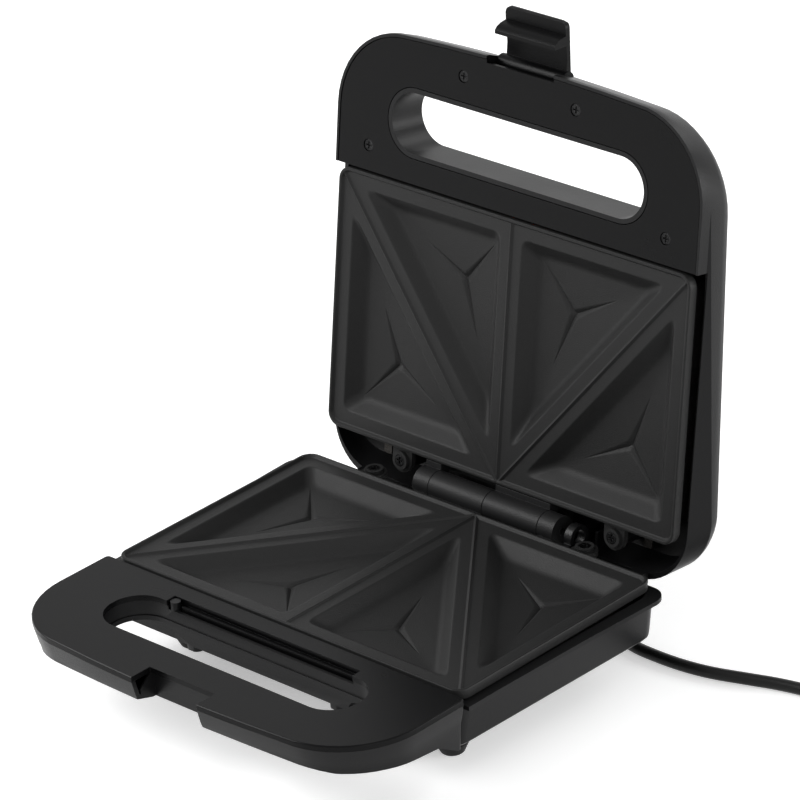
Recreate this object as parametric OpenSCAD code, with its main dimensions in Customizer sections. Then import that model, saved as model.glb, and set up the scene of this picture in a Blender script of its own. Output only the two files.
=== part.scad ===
// Sandwich toaster with a hinged lid, drawn open, with its latch standing out.
// Frame: x runs along the hinge, y from the handles to the hinge, z up from the table.
// Both cooking plates are one casting: the upper one is the lower one turned over.

/* [Plates] */
// Plate width along the hinge
plate_w = 212; // [190:1:230]
// Plate depth from handle to hinge
plate_d = 125.5; // [115:0.5:140]
// Corner radius of a plate
plate_corner = 6.5; // [3:0.5:8]
// Height of the plate edge
plate_h = 5; // [4.5:0.25:7]
// Flat width on top of the raised rim
rim_flat = 1.25; // [1:0.25:3]
// Run of the slope inside the rim
rim_run = 1.25; // [0.75:0.25:3]
// Depth of the land below the rim
land_drop = 1.4; // [1:0.1:2.4]
// Width of a dividing ridge at its foot
ridge_w = 2.6; // [2:0.2:5]
// Distance of a ridge top below the rim
ridge_low = 0.5; // [0.3:0.1:0.8]
// Land between a pocket and the ridge beside it
pocket_land = 6; // [4:0.25:8]
// Land between a pocket and the outer edge
pocket_edge = 8; // [8:0.25:11]
// Corner radius of a pocket
pocket_corner = 4; // [2:0.5:6]
// Depth of a pocket at the foot of its wall
pocket_foot = 7; // [5.5:0.25:8]
// Depth of a pocket at its deepest point
pocket_depth = 9.8; // [8.5:0.1:11]
// Run of a pocket wall
pocket_run = 3.4; // [2:0.2:5]
// Metal under the pockets
pocket_wall = 2; // [1.5:0.1:2.5]
// Gap between the two rims when the lid is shut
rim_gap = 0.8; // [0.5:0.1:2]
// First fixing ear of the lower plate, to the left of the middle
ear_left = 70; // [62:1:73]
// Second fixing ear of the lower plate, to the right of the middle
ear_right = 60; // [58:1:72]
// Width of a fixing ear
ear_w = 12; // [10:0.5:14]
// Distance of an ear hole from the plate edge
ear_reach = 6; // [5:0.5:7]
// Thickness of a fixing ear
ear_t = 2.5; // [2:0.25:3]
// Distance of the front tongues from the middle
tongue_x = 45; // [35:1:50]
// Width of a front tongue
tongue_w = 14; // [8:1:20]
// Length of a front tongue
tongue_l = 3; // [2:0.25:3.2]

/* [Heating] */
// Diameter of the heating rod
rod_d = 5.5; // [4.5:0.25:6]
// Distance of the rod legs from the middle
rod_x = 80; // [79:0.5:84]
// Distance of the front run of the rod from the plate front
rod_front = 28; // [20:1:40]
// Bend radius of the rod at its middle
rod_bend = 18; // [12:1:26]
// Sheet thickness of a reflector
reflector_t = 0.6; // [0.4:0.1:1]
// Distance of a reflector wall from the plate edge
reflector_in = 4.5; // [4:0.1:4.8]
// Diameter of the thermostat
thermostat_d = 16; // [12:0.5:20]
// Height of the thermostat
thermostat_h = 5; // [4:0.5:6]

/* [Base] */
// Depth of the main tub below the plate rim
tub_depth = 27.5; // [26:0.5:30]
// Half width of the tub under its flange
tub_x = 107; // [102:0.5:118]
// Inward lean of the tub walls from top to bottom
tub_lean = 2.5; // [1:0.5:5]
// Growth of the tub half width towards the hinge
tub_flare = 2.6; // [0:0.2:3]
// Distance of the tub's rear face behind the plates
tub_behind = 0.5; // [0.4:0.1:1]
// Wall of the base
base_wall = 2.2; // [1.8:0.1:3]
// Half width of the flange at the handle
flange_x = 110.7; // [109:0.1:122]
// Growth of the half width towards the hinge
flange_flare = 4; // [3:0.2:6]
// Overhang of the flange behind the tub
flange_over = 0.6; // [0.4:0.2:3]
// Thickness of the flange
flange_t = 2; // [1.5:0.25:3]
// Corner radius of the flange at the hinge
flange_corner = 9; // [6:0.5:12]
// Depth of the bottom cover
belly_h = 12.5; // [12.5:0.5:18]
// Half width of the bottom cover
belly_x = 88; // [84:1:90]
// Front of the bottom cover
belly_front = 10; // [8:1:16]
// Distance of the bottom cover's rear from the plate rear
belly_rear_in = 10.5; // [8:0.5:20]
// Height of the feet below the bottom cover
foot_h = 6; // [4:0.5:10]
// Diameter of a foot at the table
foot_d = 11; // [8:0.5:14]
// Diameter of a foot at its top
foot_top_d = 16; // [12:0.5:18]
// Distance of the front feet from the middle
front_foot_x = 80.5; // [60:0.5:81]
// Distance of the rear feet from the middle
rear_foot_x = 72; // [50:1:76]

/* [Handles] */
// Half width of the base handle
grip_x = 110; // [108:0.5:120]
// Reach of the base handle in front of the plates
grip_reach = 73.5; // [66:0.5:84]
// Corner radius of the handles
grip_corner = 40; // [28:1:46]
// Bow of the front edge in the middle
grip_bow = 2.7; // [0:0.1:5]
// Depth of the base handle top below the rim plane
cover_drop = 0.8; // [0.3:0.1:2]
// Thickness of the base handle cover
cover_t = 2.8; // [2:0.1:3]
// Depth of the base handle at its front
grip_depth = 13.5; // [13:0.5:16]
// Lean of the base handle side
grip_lean = 2.6; // [1:0.2:6]
// Half length of the hand slot
slot_x = 75.5; // [60:0.5:80]
// Near edge of the hand slot, from the plate front
slot_near = 15.5; // [14.5:0.5:20]
// Width of the hand slot
slot_w = 30; // [24:0.5:32]
// Half length of the rail channel behind the slot
rail_x = 57; // [40:1:60]
// Width of the rail channel
rail_w = 5.5; // [5:0.25:6]
// Half width of the latch notch
notch_x = 20; // [18:0.5:26]

/* [Lid] */
// Opening angle of the lid as drawn
lid_open = 100; // [95:1:105]
// Half width of the lid at the handle
lid_x = 109.3; // [108:0.1:120]
// Reach of the lid handle in front of the plates
lid_reach = 71.1; // [64:0.5:82]
// Depth of the lid from rim plane to back
lid_depth = 22; // [21.5:0.5:28]
// Growth of the lid half width towards the hinge, at its back
lid_flare = 5; // [3:0.2:6]
// Reach of the lid behind the plates
lid_tail = 22.8; // [21.5:0.1:24]
// Wall of the lid
lid_wall = 2.2; // [1.8:0.1:2.6]
// Set back of the lid edge beside the plate
lid_step = 7; // [5:0.5:8]
// Rounding at the back edge of the lid
lid_round = 3.6; // [2:0.2:5]
// Rise of the crowned back
lid_crown = 1; // [0.2:0.1:2]
// Fall of the back from the plates to the handle front
lid_fall = 3.6; // [2:0.2:4]
// Width of the hand slot in the lid
lid_slot_w = 28.3; // [24:0.1:31]
// Depth of the lid panel below the rim plane
panel_drop = 0.8; // [0.3:0.1:1.5]
// Thickness of the lid panel
panel_t = 2; // [1.5:0.1:3]
// Border of lid edge around the panel
panel_border = 1.5; // [1:0.1:1.7]
// Groove around the lid panel and around its hand slot
panel_gap = 0.4; // [0.1:0.1:0.6]
// Distance of the upper panel screws from the middle
panel_screw_x1 = 33.5; // [30:0.5:40]
// Distance of the upper panel screws from the lid front
panel_screw_in = 13; // [11:0.5:15]
// Distance of the lower panel screws from the middle
panel_screw_x2 = 89.3; // [84:0.5:94]
// Distance of the lower panel screws from the plate front
panel_screw_y = 13; // [8:0.5:16]
// Diameter of a lamp lens
lens_d = 8; // [6:0.5:10]
// Half distance between the two lamps
lamp_x = 9; // [7:0.5:15]

/* [Hinge] */
// Distance of the hinge pin behind the plates
pin_behind = 10.2; // [9.5:0.1:12]
// Depth of the hinge pin below the rim plane
pin_below = 0.6; // [0:0.1:1.5]
// Diameter of the hinge barrel
barrel_d = 14.4; // [12:0.2:15]
// Half length of the hinge barrel
barrel_x = 43; // [36:0.5:46]
// Length of an outer knuckle
knuckle_end = 9.5; // [7:0.5:12]
// Gap between knuckles
knuckle_gap = 0.3; // [0.3:0.1:0.6]
// Diameter of the hinge pin
pin_d = 4; // [3:0.5:5]
// Running fit between a pin and its bore
pin_fit = 0.05; // [0.02:0.01:0.09]
// Radius of the wire bush
bush_r = 6; // [5:0.25:6.5]
// Width of the wire bush
bush_w = 4.4; // [3:0.2:4.6]
// Gap at the opening stop
stop_gap = 0.3; // [0.3:0.1:0.6]

/* [Latch] */
// Distance of the latch pivot behind the lid front
latch_in = 4.5; // [4.4:0.1:4.7]
// Height of the latch pivot above the upper rim plane
latch_up = 10.7; // [10.6:0.1:10.9]
// Half width of the latch
latch_x = 17.9; // [14:0.1:19]
// Reach of the latch from its pivot
latch_reach = 26.7; // [25.5:0.1:30]
// Height of the latch plate above its pivot
latch_rise = 1.2; // [1.2:0.1:1.4]
// Thickness of the latch plate
latch_t = 2.8; // [2.4:0.1:2.8]
// Distance of the hook from the pivot
hook_at = 15.4; // [15.4:0.1:15.8]
// Thickness of the hook
hook_t = 4.6; // [4:0.2:6]
// Height of the hook over the latch plate
hook_h = 7.3; // [7:0.1:7.5]
// Lean of the open latch towards the plates
latch_lean = 7; // [0:1:9]
// Diameter of the latch pin
latch_pin_d = 3; // [2:0.5:3]

/* [Cord] */
// Diameter of the mains cord
cord_d = 5.6; // [5:0.1:6]
// Distance of the cord exit from the middle
cord_x = -30; // [-40:1:-20]
// Length of the strain relief
relief_l = 25; // [20:1:30]
// Mean diameter of the spare coil
coil_d = 62; // [56:1:68]
// Diameter of the plug body
plug_d = 34; // [30:1:38]
// Length of the plug body
plug_l = 38; // [32:1:44]
// Diameter of a plug pin
plug_pin_d = 4.8; // [4:0.1:4.8]
// Distance between the plug pins
plug_pitch = 19; // [18:0.5:20]

/* [Hidden] */
// Clearance between pieces of one body
slip = 0.1;
// Clearance between a screw and its bore
screw_clear = 0.2;
screw_r = 1.6;
screw_head_r = 2.7;
screw_head_h = 1.8;
eps = 0.05;
$fn = 48;

tub_y = plate_d + tub_behind;
belly_rear = plate_d - belly_rear_in;
pin_y = plate_d + pin_behind;
pin_z = -pin_below;
mid_x = plate_w / 2;
flange_z = -plate_h - 0.3;
tub_floor = -tub_depth + base_wall;
belly_z = -tub_depth - belly_h;
rim_height = tub_depth + belly_h + foot_h;
cover_z = -cover_drop - cover_t;
lid_front = -lid_reach;
lid_rear = plate_d + lid_tail;
panel_z = rim_gap + panel_drop;
panel_seat = panel_z + panel_t - 0.6;
panel_head_h = 1;
rod_z = -pocket_depth - pocket_wall - 0.2 - rod_d / 2;
reflector_z = rod_z - rod_d / 2 - 0.2;
post_r = 4.4;
lug_r = 4.2;
knuckle_r = barrel_d / 2;
knuckle_in = barrel_x - knuckle_end;
bush_x = barrel_x + 6;
latch_y = lid_front + latch_in;
latch_z = rim_gap + latch_up;
hub_r = latch_rise + latch_t;
latch_open_y = latch_y + hub_r + 0.6;
pocket_top = latch_z + hub_r + 0.6;
panel_notch_y = latch_y - latch_rise + 0.3;
notch_y = latch_y + 4.8;
hook_pocket_y = latch_y - latch_rise + hook_h + 0.5;
rail_t = 1.2;
rail_y = -slot_near + base_wall + 0.9;
rail_floor = -11;
exit_y = belly_rear + relief_l;
relief_r = 5;
exit_z = -tub_depth - relief_r - 0.2;
cord_z = -rim_height + cord_d / 2;

// Lid table: height above the upper rim, inset, half width growth, tail, front set back.
lid_rings = [
    [0, 0, -1.6, lid_tail, 0],
    [3, 0, -1.4, lid_tail, 0],
    [lid_step, 0, -1, lid_tail, 0.9],
    [lid_depth - 6, 0, lid_flare, lid_tail - 5, 2.8],
    [lid_depth - lid_round, 0.3, lid_flare, lid_tail - 5.6, 3.3],
    [lid_depth - lid_round * 0.3, 1.1, lid_flare, lid_tail - 6.4, 4],
    [lid_depth, lid_round, lid_flare, lid_tail - 7.4, 4.6],
    [lid_depth + lid_crown * 0.7, 24, lid_flare, lid_tail - 10, 22],
    [lid_depth + lid_crown, 46, lid_flare, lid_tail - 14, 37],
];

// Route of the cord from the strain relief to the spare coil.
cord_route = [
    [cord_x, exit_y - 6, exit_z],
    [cord_x, exit_y, exit_z],
    [cord_x, exit_y + 9, exit_z - 2],
    [cord_x + 3, exit_y + 19, exit_z - 5.5],
    [cord_x + 9, exit_y + 28, cord_z + 1],
    [cord_x + 18, exit_y + 35, cord_z],
    [cord_x + 30, exit_y + 38, cord_z],
    [cord_x + 43, exit_y + 37, cord_z],
    [cord_x + 56, exit_y + 31, cord_z],
    [cord_x + 68, exit_y + 22, cord_z],
    [cord_x + 79, exit_y + 12, cord_z],
    [cord_x + 90, exit_y + 3, cord_z],
    [cord_x + 102, exit_y - 4, cord_z],
    [cord_x + 116, exit_y - 8.5, cord_z],
    [cord_x + 130, exit_y - 9.5, cord_z],
    [cord_x + 145, exit_y - 9, cord_z],
    [cord_x + 160, exit_y - 6.5, cord_z],
    [cord_x + 176, exit_y - 1.5, cord_z],
    [cord_x + 190, exit_y + 3, cord_z],
    [cord_x + 204, exit_y + 6, cord_z],
    [cord_x + 219, exit_y + 7, cord_z],
    [cord_x + 235, exit_y + 7, cord_z],
];
coil_at = [cord_x + 235, exit_y + 7 + coil_d / 2];
coil_turns_h = 3 * cord_d;
// Route of the tail from the coil to the plug.
tail_x = coil_at[0] + coil_d / 2;
tail_route = [
    [tail_x, coil_at[1], cord_z + 2 * cord_d],
    [tail_x + 1, coil_at[1] + 10, cord_z + 2 * cord_d - 1],
    [tail_x + 2, coil_at[1] + 20, cord_z + 2 * cord_d - 2],
    [tail_x + 3, coil_at[1] + 30, cord_z + 2 * cord_d],
    [tail_x + 3, coil_at[1] + 40, -rim_height + plug_d / 2 - 1],
    [tail_x + 3, coil_at[1] + 52, -rim_height + plug_d / 2],
];
plug_at = [tail_x + 3, coil_at[1] + 50, -rim_height + plug_d / 2];

// Middle of the whole part from front to back, used to centre it.
function open_y(y, z) =
    pin_y + (y - pin_y) * cos(lid_open) + (z - pin_z) * sin(lid_open);
lid_back_y = max([for (i = [0:len(lid_rings) - 1])
    for (p = lid_ring(i, 0, rim_gap + lid_rings[i][0])) open_y(p[1], p[2])]);
latch_back_y = open_y(
    latch_y - (latch_reach - 1.2) * cos(latch_lean) - hub_r * sin(latch_lean),
    latch_z - (latch_reach - 1.2) * sin(latch_lean) + hub_r * cos(latch_lean));
grip_front_y = grip_bow * pow(notch_x / (grip_x - grip_corner), 2) - grip_reach;
mid_y = (max(lid_back_y, latch_back_y) + grip_front_y) / 2;

// ---------- outlines and lofts ----------

// Corner arc from the end of one side to the start of the next.
function arc_corner(a, v, b, r, n) =
    let (u = (v - a) / norm(v - a),
         w = (b - v) / norm(b - v),
         t = acos(max(-1, min(1, u * w))),
         p = v - u * (r * tan(t / 2)),
         c = p + r * [-u[1], u[0]])
    [for (k = [0:n]) let (g = atan2(p[1] - c[1], p[0] - c[0]) + t * k / n)
        c + r * [cos(g), sin(g)]];

// Convex outline with a radius at every corner, counter-clockwise.
function rounded(pts, r, n = 6) =
    let (m = len(pts))
    [for (i = [0:m - 1])
        each arc_corner(pts[(i + m - 1) % m], pts[i], pts[(i + 1) % m], r, n)];

function box_outline(x0, x1, y0, y1, r, n = 6) =
    rounded([[x0, y0], [x1, y0], [x1, y1], [x0, y1]], r, n);

// Box outline whose half width grows by f from front to rear.
function flared(hx, y0, y1, f, r) =
    rounded([[-hx, y0], [hx, y0], [hx + f, y1], [-hx - f, y1]], r);

// Handle outline with a bowed front, large front corners and small rear ones.
function bowed(hx, front, bow, r, rear_hx, rear, rr, n = 12) =
    let (cx = hx - r,
         cy = front + bow + r)
    concat(
        [for (k = [0:n]) let (g = 180 + 90 * k / n)
            [-cx + r * cos(g), cy + r * sin(g)]],
        [for (k = [1:n - 1]) let (x = -cx + 2 * cx * k / n)
            [x, front + bow * pow(x / cx, 2)]],
        [for (k = [0:n]) let (g = 270 + 90 * k / n)
            [cx + r * cos(g), cy + r * sin(g)]],
        [for (k = [0:n]) let (g = 90 * k / n)
            [rear_hx - rr + rr * cos(g), rear - rr + rr * sin(g)]],
        [for (k = [0:n]) let (g = 90 + 90 * k / n)
            [-rear_hx + rr + rr * cos(g), rear - rr + rr * sin(g)]]);

function lift(outline, z) = [for (p = outline) [p[0], p[1], z]];

// Solid through rings of equal length, listed from bottom to top.
module loft(rings) {
    n = len(rings[0]);
    m = len(rings);
    polyhedron(
        points = [for (r = rings) each r],
        faces = concat(
            [[for (i = [0:n - 1]) i]],
            [[for (i = [0:n - 1]) (m - 1) * n + n - 1 - i]],
            [for (k = [0:m - 2]) for (i = [0:n - 1]) let (j = (i + 1) % n)
                [k * n + i, (k + 1) * n + i, (k + 1) * n + j, k * n + j]]),
        convexity = 6);
}

// Solid from one apex up through rings listed from bottom to top.
module loft_from(apex, rings) {
    n = len(rings[0]);
    m = len(rings);
    polyhedron(
        points = concat([apex], [for (r = rings) each r]),
        faces = concat(
            [for (i = [0:n - 1]) [0, 1 + i, 1 + (i + 1) % n]],
            [[for (i = [0:n - 1]) (m - 1) * n + n - i]],
            [for (k = [0:m - 2]) for (i = [0:n - 1]) let (j = (i + 1) % n)
                [1 + k * n + i, 1 + (k + 1) * n + i, 1 + (k + 1) * n + j, 1 + k * n + j]]),
        convexity = 6);
}

// Tube of a flexible cord: one ring of n points at each route point.
module tube(route, d, n = 10) {
    m = len(route);
    rings = [for (i = [0:m - 1])
        let (a = route[max(0, i - 1)],
             b = route[min(m - 1, i + 1)],
             t = (b - a) / norm(b - a),
             s = cross([0, 0, 1], t),
             u = s / norm(s),
             w = cross(t, u))
        [for (k = [0:n - 1]) let (g = 360 * k / n)
            route[i] + d / 2 * (u * cos(g) + w * sin(g))]];
    polyhedron(
        points = [for (r = rings) each r],
        faces = concat(
            [[for (k = [0:n - 1]) n - 1 - k]],
            [[for (k = [0:n - 1]) (m - 1) * n + k]],
            [for (i = [0:m - 2]) for (k = [0:n - 1]) let (j = (k + 1) % n)
                [i * n + k, i * n + j, (i + 1) * n + j, (i + 1) * n + k]]),
        convexity = 10);
}

module stadium(hx, y0, w, z0, z1, grow = 0) {
    r = w / 2 + grow;
    cx = hx - w / 2;
    for (sx = [-1, 1]) {
        translate([sx * cx, y0 - w / 2, z0])
            cylinder(r = r, h = z1 - z0);
    }
    translate([-cx, y0 - w / 2 - r, z0])
        cube([2 * cx, 2 * r, z1 - z0]);
}

module x_rod(r, x0, x1) {
    translate([x0, 0, 0])
        rotate([0, 90, 0])
        cylinder(r = r, h = x1 - x0);
}

// Screw with a cross recess, head up, top of the head at the origin.
module screw(l) {
    difference() {
        union() {
            translate([0, 0, -screw_head_h])
                cylinder(r = screw_head_r, h = screw_head_h);
            translate([0, 0, -l])
                cylinder(r = screw_r, h = l);
        }
        for (a = [0, 90]) {
            rotate([0, 0, a])
                translate([-1.6, -0.35, -1])
                cube([3.2, 0.7, 1 + eps]);
        }
    }
}

// ---------- placing ----------

module place() {
    translate([0, -mid_y, rim_height])
        children();
}

// Lid pieces are drawn shut and swung open about the hinge pin.
module on_lid() {
    place()
        translate([0, pin_y, pin_z])
        rotate([-lid_open, 0, 0])
        translate([0, -pin_y, -pin_z])
        children();
}

// Upper plate group: the lower group turned over above the rim gap.
module turned() {
    translate([0, 0, rim_gap])
        rotate([0, 180, 0])
        children();
}

module on_latch() {
    on_lid()
        translate([0, latch_y, latch_z])
        children();
}

// ---------- plates and heating ----------

// Corners of the two pockets right of the centre ridge.
function inset_tri(a, b, c, da, db, dc) =
    let (na = edge_normal(a, b), nb = edge_normal(b, c), nc = edge_normal(c, a))
    [meet(c, nc, dc, a, na, da), meet(a, na, da, b, nb, db), meet(b, nb, db, c, nc, dc)];

function edge_normal(a, b) = [a[1] - b[1], b[0] - a[0]] / norm(b - a);

// Point where two edges, each moved in along its normal, cross.
function meet(p, n, dn, q, m, dm) =
    let (det = n[0] * m[1] - n[1] * m[0],
         e = n * p + dn,
         f = m * q + dm)
    [(e * m[1] - f * n[1]) / det, (n[0] * f - m[0] * e) / det];

function pocket(kind, grow) =
    kind == 0
        ? inset_tri([0, 0], [mid_x, 0], [0, plate_d],
            pocket_edge - 0.5 - grow, pocket_land - grow, pocket_land - grow)
        : inset_tri([mid_x, 0], [mid_x, plate_d], [0, plate_d],
            pocket_edge - grow, pocket_edge - grow, pocket_land - grow);

// Lowest point of a pocket: between its centroid and its incentre.
function tri_mid(t) =
    let (la = norm(t[1] - t[2]), lb = norm(t[2] - t[0]), lc = norm(t[0] - t[1]),
         inc = (la * t[0] + lb * t[1] + lc * t[2]) / (la + lb + lc))
    (inc + (t[0] + t[1] + t[2]) / 3) / 2;

module pocket_solid(kind, grow, top) {
    t = pocket(kind, grow);
    f = pocket(kind, grow - pocket_run);
    d = pocket_depth + max(0, grow);
    m = tri_mid(t);
    loft_from([m[0], m[1], -d], [
        lift(rounded(f, pocket_corner + 1, 5), -pocket_foot - max(0, grow)),
        lift(rounded(t, pocket_corner, 5), top),
    ]);
}

module both_sides() {
    children();
    mirror([1, 0, 0])
        children();
}

module ridge(a, b) {
    l = norm(b - a);
    translate([a[0], a[1], -land_drop])
        rotate([0, 0, atan2(b[1] - a[1], b[0] - a[0])])
        loft([
            lift([[0, -ridge_w / 2], [l, -ridge_w / 2], [l, ridge_w / 2], [0, ridge_w / 2]],
                -0.5),
            lift([[0, -0.6], [l, -0.6], [l, 0.6], [0, 0.6]], land_drop - ridge_low),
        ]);
}

module plate_ear(x) {
    difference() {
        union() {
            translate([x, plate_d + ear_reach, -plate_h])
                cylinder(r = ear_w / 2, h = ear_t);
            translate([x - ear_w / 2, plate_d - 2, -plate_h])
                cube([ear_w, ear_reach + 2, ear_t]);
            translate([x, plate_d + ear_reach, -plate_h])
                cylinder(r = post_r, h = ear_t + screw_head_h);
        }
        translate([x, plate_d + ear_reach, -plate_h - eps])
            cylinder(r = screw_r + screw_clear, h = ear_t + 1);
        translate([x, plate_d + ear_reach, -plate_h + ear_t])
            cylinder(r = screw_head_r + screw_clear, h = screw_head_h + 1);
    }
}

module plate() {
    inner = rim_flat + rim_run;
    difference() {
        union() {
            loft([
                lift(box_outline(-mid_x + 0.4, mid_x - 0.4, 0.4, plate_d - 0.4,
                    plate_corner), -plate_h),
                lift(box_outline(-mid_x, mid_x, 0, plate_d, plate_corner), -plate_h + 1),
                lift(box_outline(-mid_x, mid_x, 0, plate_d, plate_corner), -0.5),
                lift(box_outline(-mid_x + 0.5, mid_x - 0.5, 0.5, plate_d - 0.5,
                    plate_corner), 0),
            ]);
            both_sides() {
                pocket_solid(0, pocket_wall, -plate_h + 0.5);
                pocket_solid(1, pocket_wall, -plate_h + 0.5);
                for (y = [50, 96]) {
                    translate([rod_x - 4, y - 3, rod_z])
                        cube([8, 6, -plate_h - rod_z + 0.5]);
                }
            }
            for (x = [-tongue_x, tongue_x]) {
                translate([x - 3, rod_front - 4, rod_z])
                    cube([6, 8, -plate_h - rod_z + 0.5]);
                translate([x - tongue_w / 2, -tongue_l, -plate_h])
                    cube([tongue_w, tongue_l + 2, plate_h + cover_z]);
            }
            plate_ear(-ear_left);
            plate_ear(ear_right);
        }
        difference() {
            loft([
                lift(box_outline(-mid_x + inner, mid_x - inner, inner, plate_d - inner,
                    plate_corner), -land_drop),
                lift(box_outline(-mid_x + rim_flat, mid_x - rim_flat, rim_flat,
                    plate_d - rim_flat, plate_corner), eps),
            ]);
            ridge([0, 0], [0, plate_d]);
            both_sides()
                ridge([mid_x, 0], [0, plate_d]);
        }
        both_sides() {
            pocket_solid(0, 0, -land_drop + eps);
            pocket_solid(1, 0, -land_drop + eps);
        }
        rod_path(rod_d / 2 + slip, plate_d + 20);
    }
}

// U-shaped rod with both ends at the hinge side, straight up to y1.
module rod_path(r, y1) {
    cx = rod_x - rod_bend;
    cy = rod_front + rod_bend;
    translate([0, 0, rod_z]) {
        for (sx = [-1, 1]) {
            translate([sx * rod_x, cy, 0])
                rotate([-90, 0, 0])
                cylinder(r = r, h = y1 - cy);
            translate([sx * cx, cy, 0])
                rotate([0, 0, sx > 0 ? 270 : 180])
                rotate_extrude(angle = 90)
                translate([rod_bend, 0])
                circle(r = r);
        }
        translate([0, rod_front, 0])
            x_rod(r, -cx, cx);
    }
}

// Rod with its cold ends and a spade terminal on each.
module heating_rod(y1) {
    rod_path(rod_d / 2, y1);
    for (sx = [-1, 1]) {
        translate([sx * rod_x, y1, rod_z])
            rotate([-90, 0, 0])
            cylinder(r = 1.5, h = 4.5);
        translate([sx * rod_x - 2.4, y1 + 4, rod_z - 0.4])
            cube([4.8, 7, 0.8]);
    }
}

module reflector() {
    i = reflector_in;
    t = reflector_t;
    difference() {
        loft([
            lift(box_outline(-mid_x + i, mid_x - i, i, plate_d - i, 8),
                reflector_z - t),
            lift(box_outline(-mid_x + i, mid_x - i, i, plate_d - i, 8), -plate_h),
        ]);
        loft([
            lift(box_outline(-mid_x + i + t, mid_x - i - t, i + t, plate_d - i - t, 8 - t),
                reflector_z),
            lift(box_outline(-mid_x + i + t, mid_x - i - t, i + t, plate_d - i - t, 8 - t),
                -plate_h + eps),
        ]);
        for (sx = [-1, 1]) {
            translate([sx * rod_x - rod_d, plate_d - i - 2, rod_z - rod_d / 2 - 1])
                cube([2 * rod_d, 4, 20]);
        }
    }
}

module ear_screws() {
    for (x = [-ear_left, ear_right]) {
        translate([x, plate_d + ear_reach, -plate_h + ear_t + screw_head_h])
            screw(14);
    }
}

// ---------- base ----------

function grip_outline(inset) =
    bowed(grip_x - inset, -grip_reach + inset, grip_bow, grip_corner - inset,
        grip_x - inset, -1.2, 1.8);

function flange_half(y) = flange_x + flange_flare * pow(max(0, y) / plate_d, 1.8);

function flange_outline() =
    let (yr = tub_y + flange_over, r = flange_corner, ys = [0, 20, 45, 70, 95],
         xr = flange_half(yr - r))
    concat(
        [for (y = ys) [flange_half(y), y]],
        [for (k = [0:8]) [xr - r + r * cos(90 * k / 8), yr - r + r * sin(90 * k / 8)]],
        [for (k = [8:-1:0]) [-xr + r - r * cos(90 * k / 8), yr - r + r * sin(90 * k / 8)]],
        [for (i = [len(ys) - 1:-1:0]) [-flange_half(ys[i]), ys[i]]]);

module tub(inset, floor_z, top_z) {
    x = tub_x - inset;
    y1 = tub_y - inset;
    y0 = inset - 4;
    b = tub_lean;
    loft([
        lift(flared(x - b - 1.4, y0 + 2, y1 - b - 1.4, tub_flare, 6), floor_z),
        lift(flared(x - b, y0, y1 - b, tub_flare, 7), floor_z + 1.4),
        lift(flared(x - b + 0.3, y0, y1 - b + 0.4, tub_flare, 7), floor_z + 3.4),
        lift(flared(x, y0, y1, tub_flare, 9), flange_z - flange_t),
        lift(flared(x, y0, y1, tub_flare, 9), top_z),
    ]);
}

// Side profile of the handle block: shallow at the front, deep at the tub.
module grip_profile(up) {
    rotate([90, 0, 90])
        translate([0, 0, -150])
        linear_extrude(height = 300)
        polygon([
            [-grip_reach - 2, -grip_depth + 1.9 + up],
            [notch_y, -grip_depth - 2.3 + up],
            [-slot_near - slot_w, -grip_depth - 3.2 + up],
            [-slot_near, -tub_depth + 8 + up],
            [-4, -tub_depth + 1 + up],
            [1, -tub_depth + up],
            [1, 5],
            [-grip_reach - 2, 5],
        ]);
}

module grip_block(inset, up) {
    difference() {
        intersection() {
            loft([
                lift(grip_outline(grip_lean + 1.5 + inset), -tub_depth),
                lift(grip_outline(grip_lean + inset), -grip_depth),
                lift(grip_outline(grip_lean - 1 + inset), -grip_depth + 3),
                lift(grip_outline(inset), cover_z),
            ]);
            grip_profile(up);
        }
        // raised underside at both ends of the hand slot
        both_sides()
            translate([0, -13 + inset, 0])
            rotate([90, 0, 0])
            linear_extrude(height = 35 + 2 * inset)
            polygon([[84 + inset, -60], [84 + inset, -13.2 + up], [60, -13.2 + up],
                [55 - inset, -15 + up], [51 - inset, -20 + up], [51 - inset, -60]]);
    }
}

function screw_spots() = [
    [-grip_x + 14, -20], [grip_x - 14, -20],
    [-45, -grip_reach + 17], [45, -grip_reach + 17]];

// Round boss at the left end of the rail channel.
module channel_boss() {
    translate([-rail_x + 2.6, -slot_near + 2.9, -20])
        cylinder(r = 2.4, h = 18.6);
}

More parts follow.
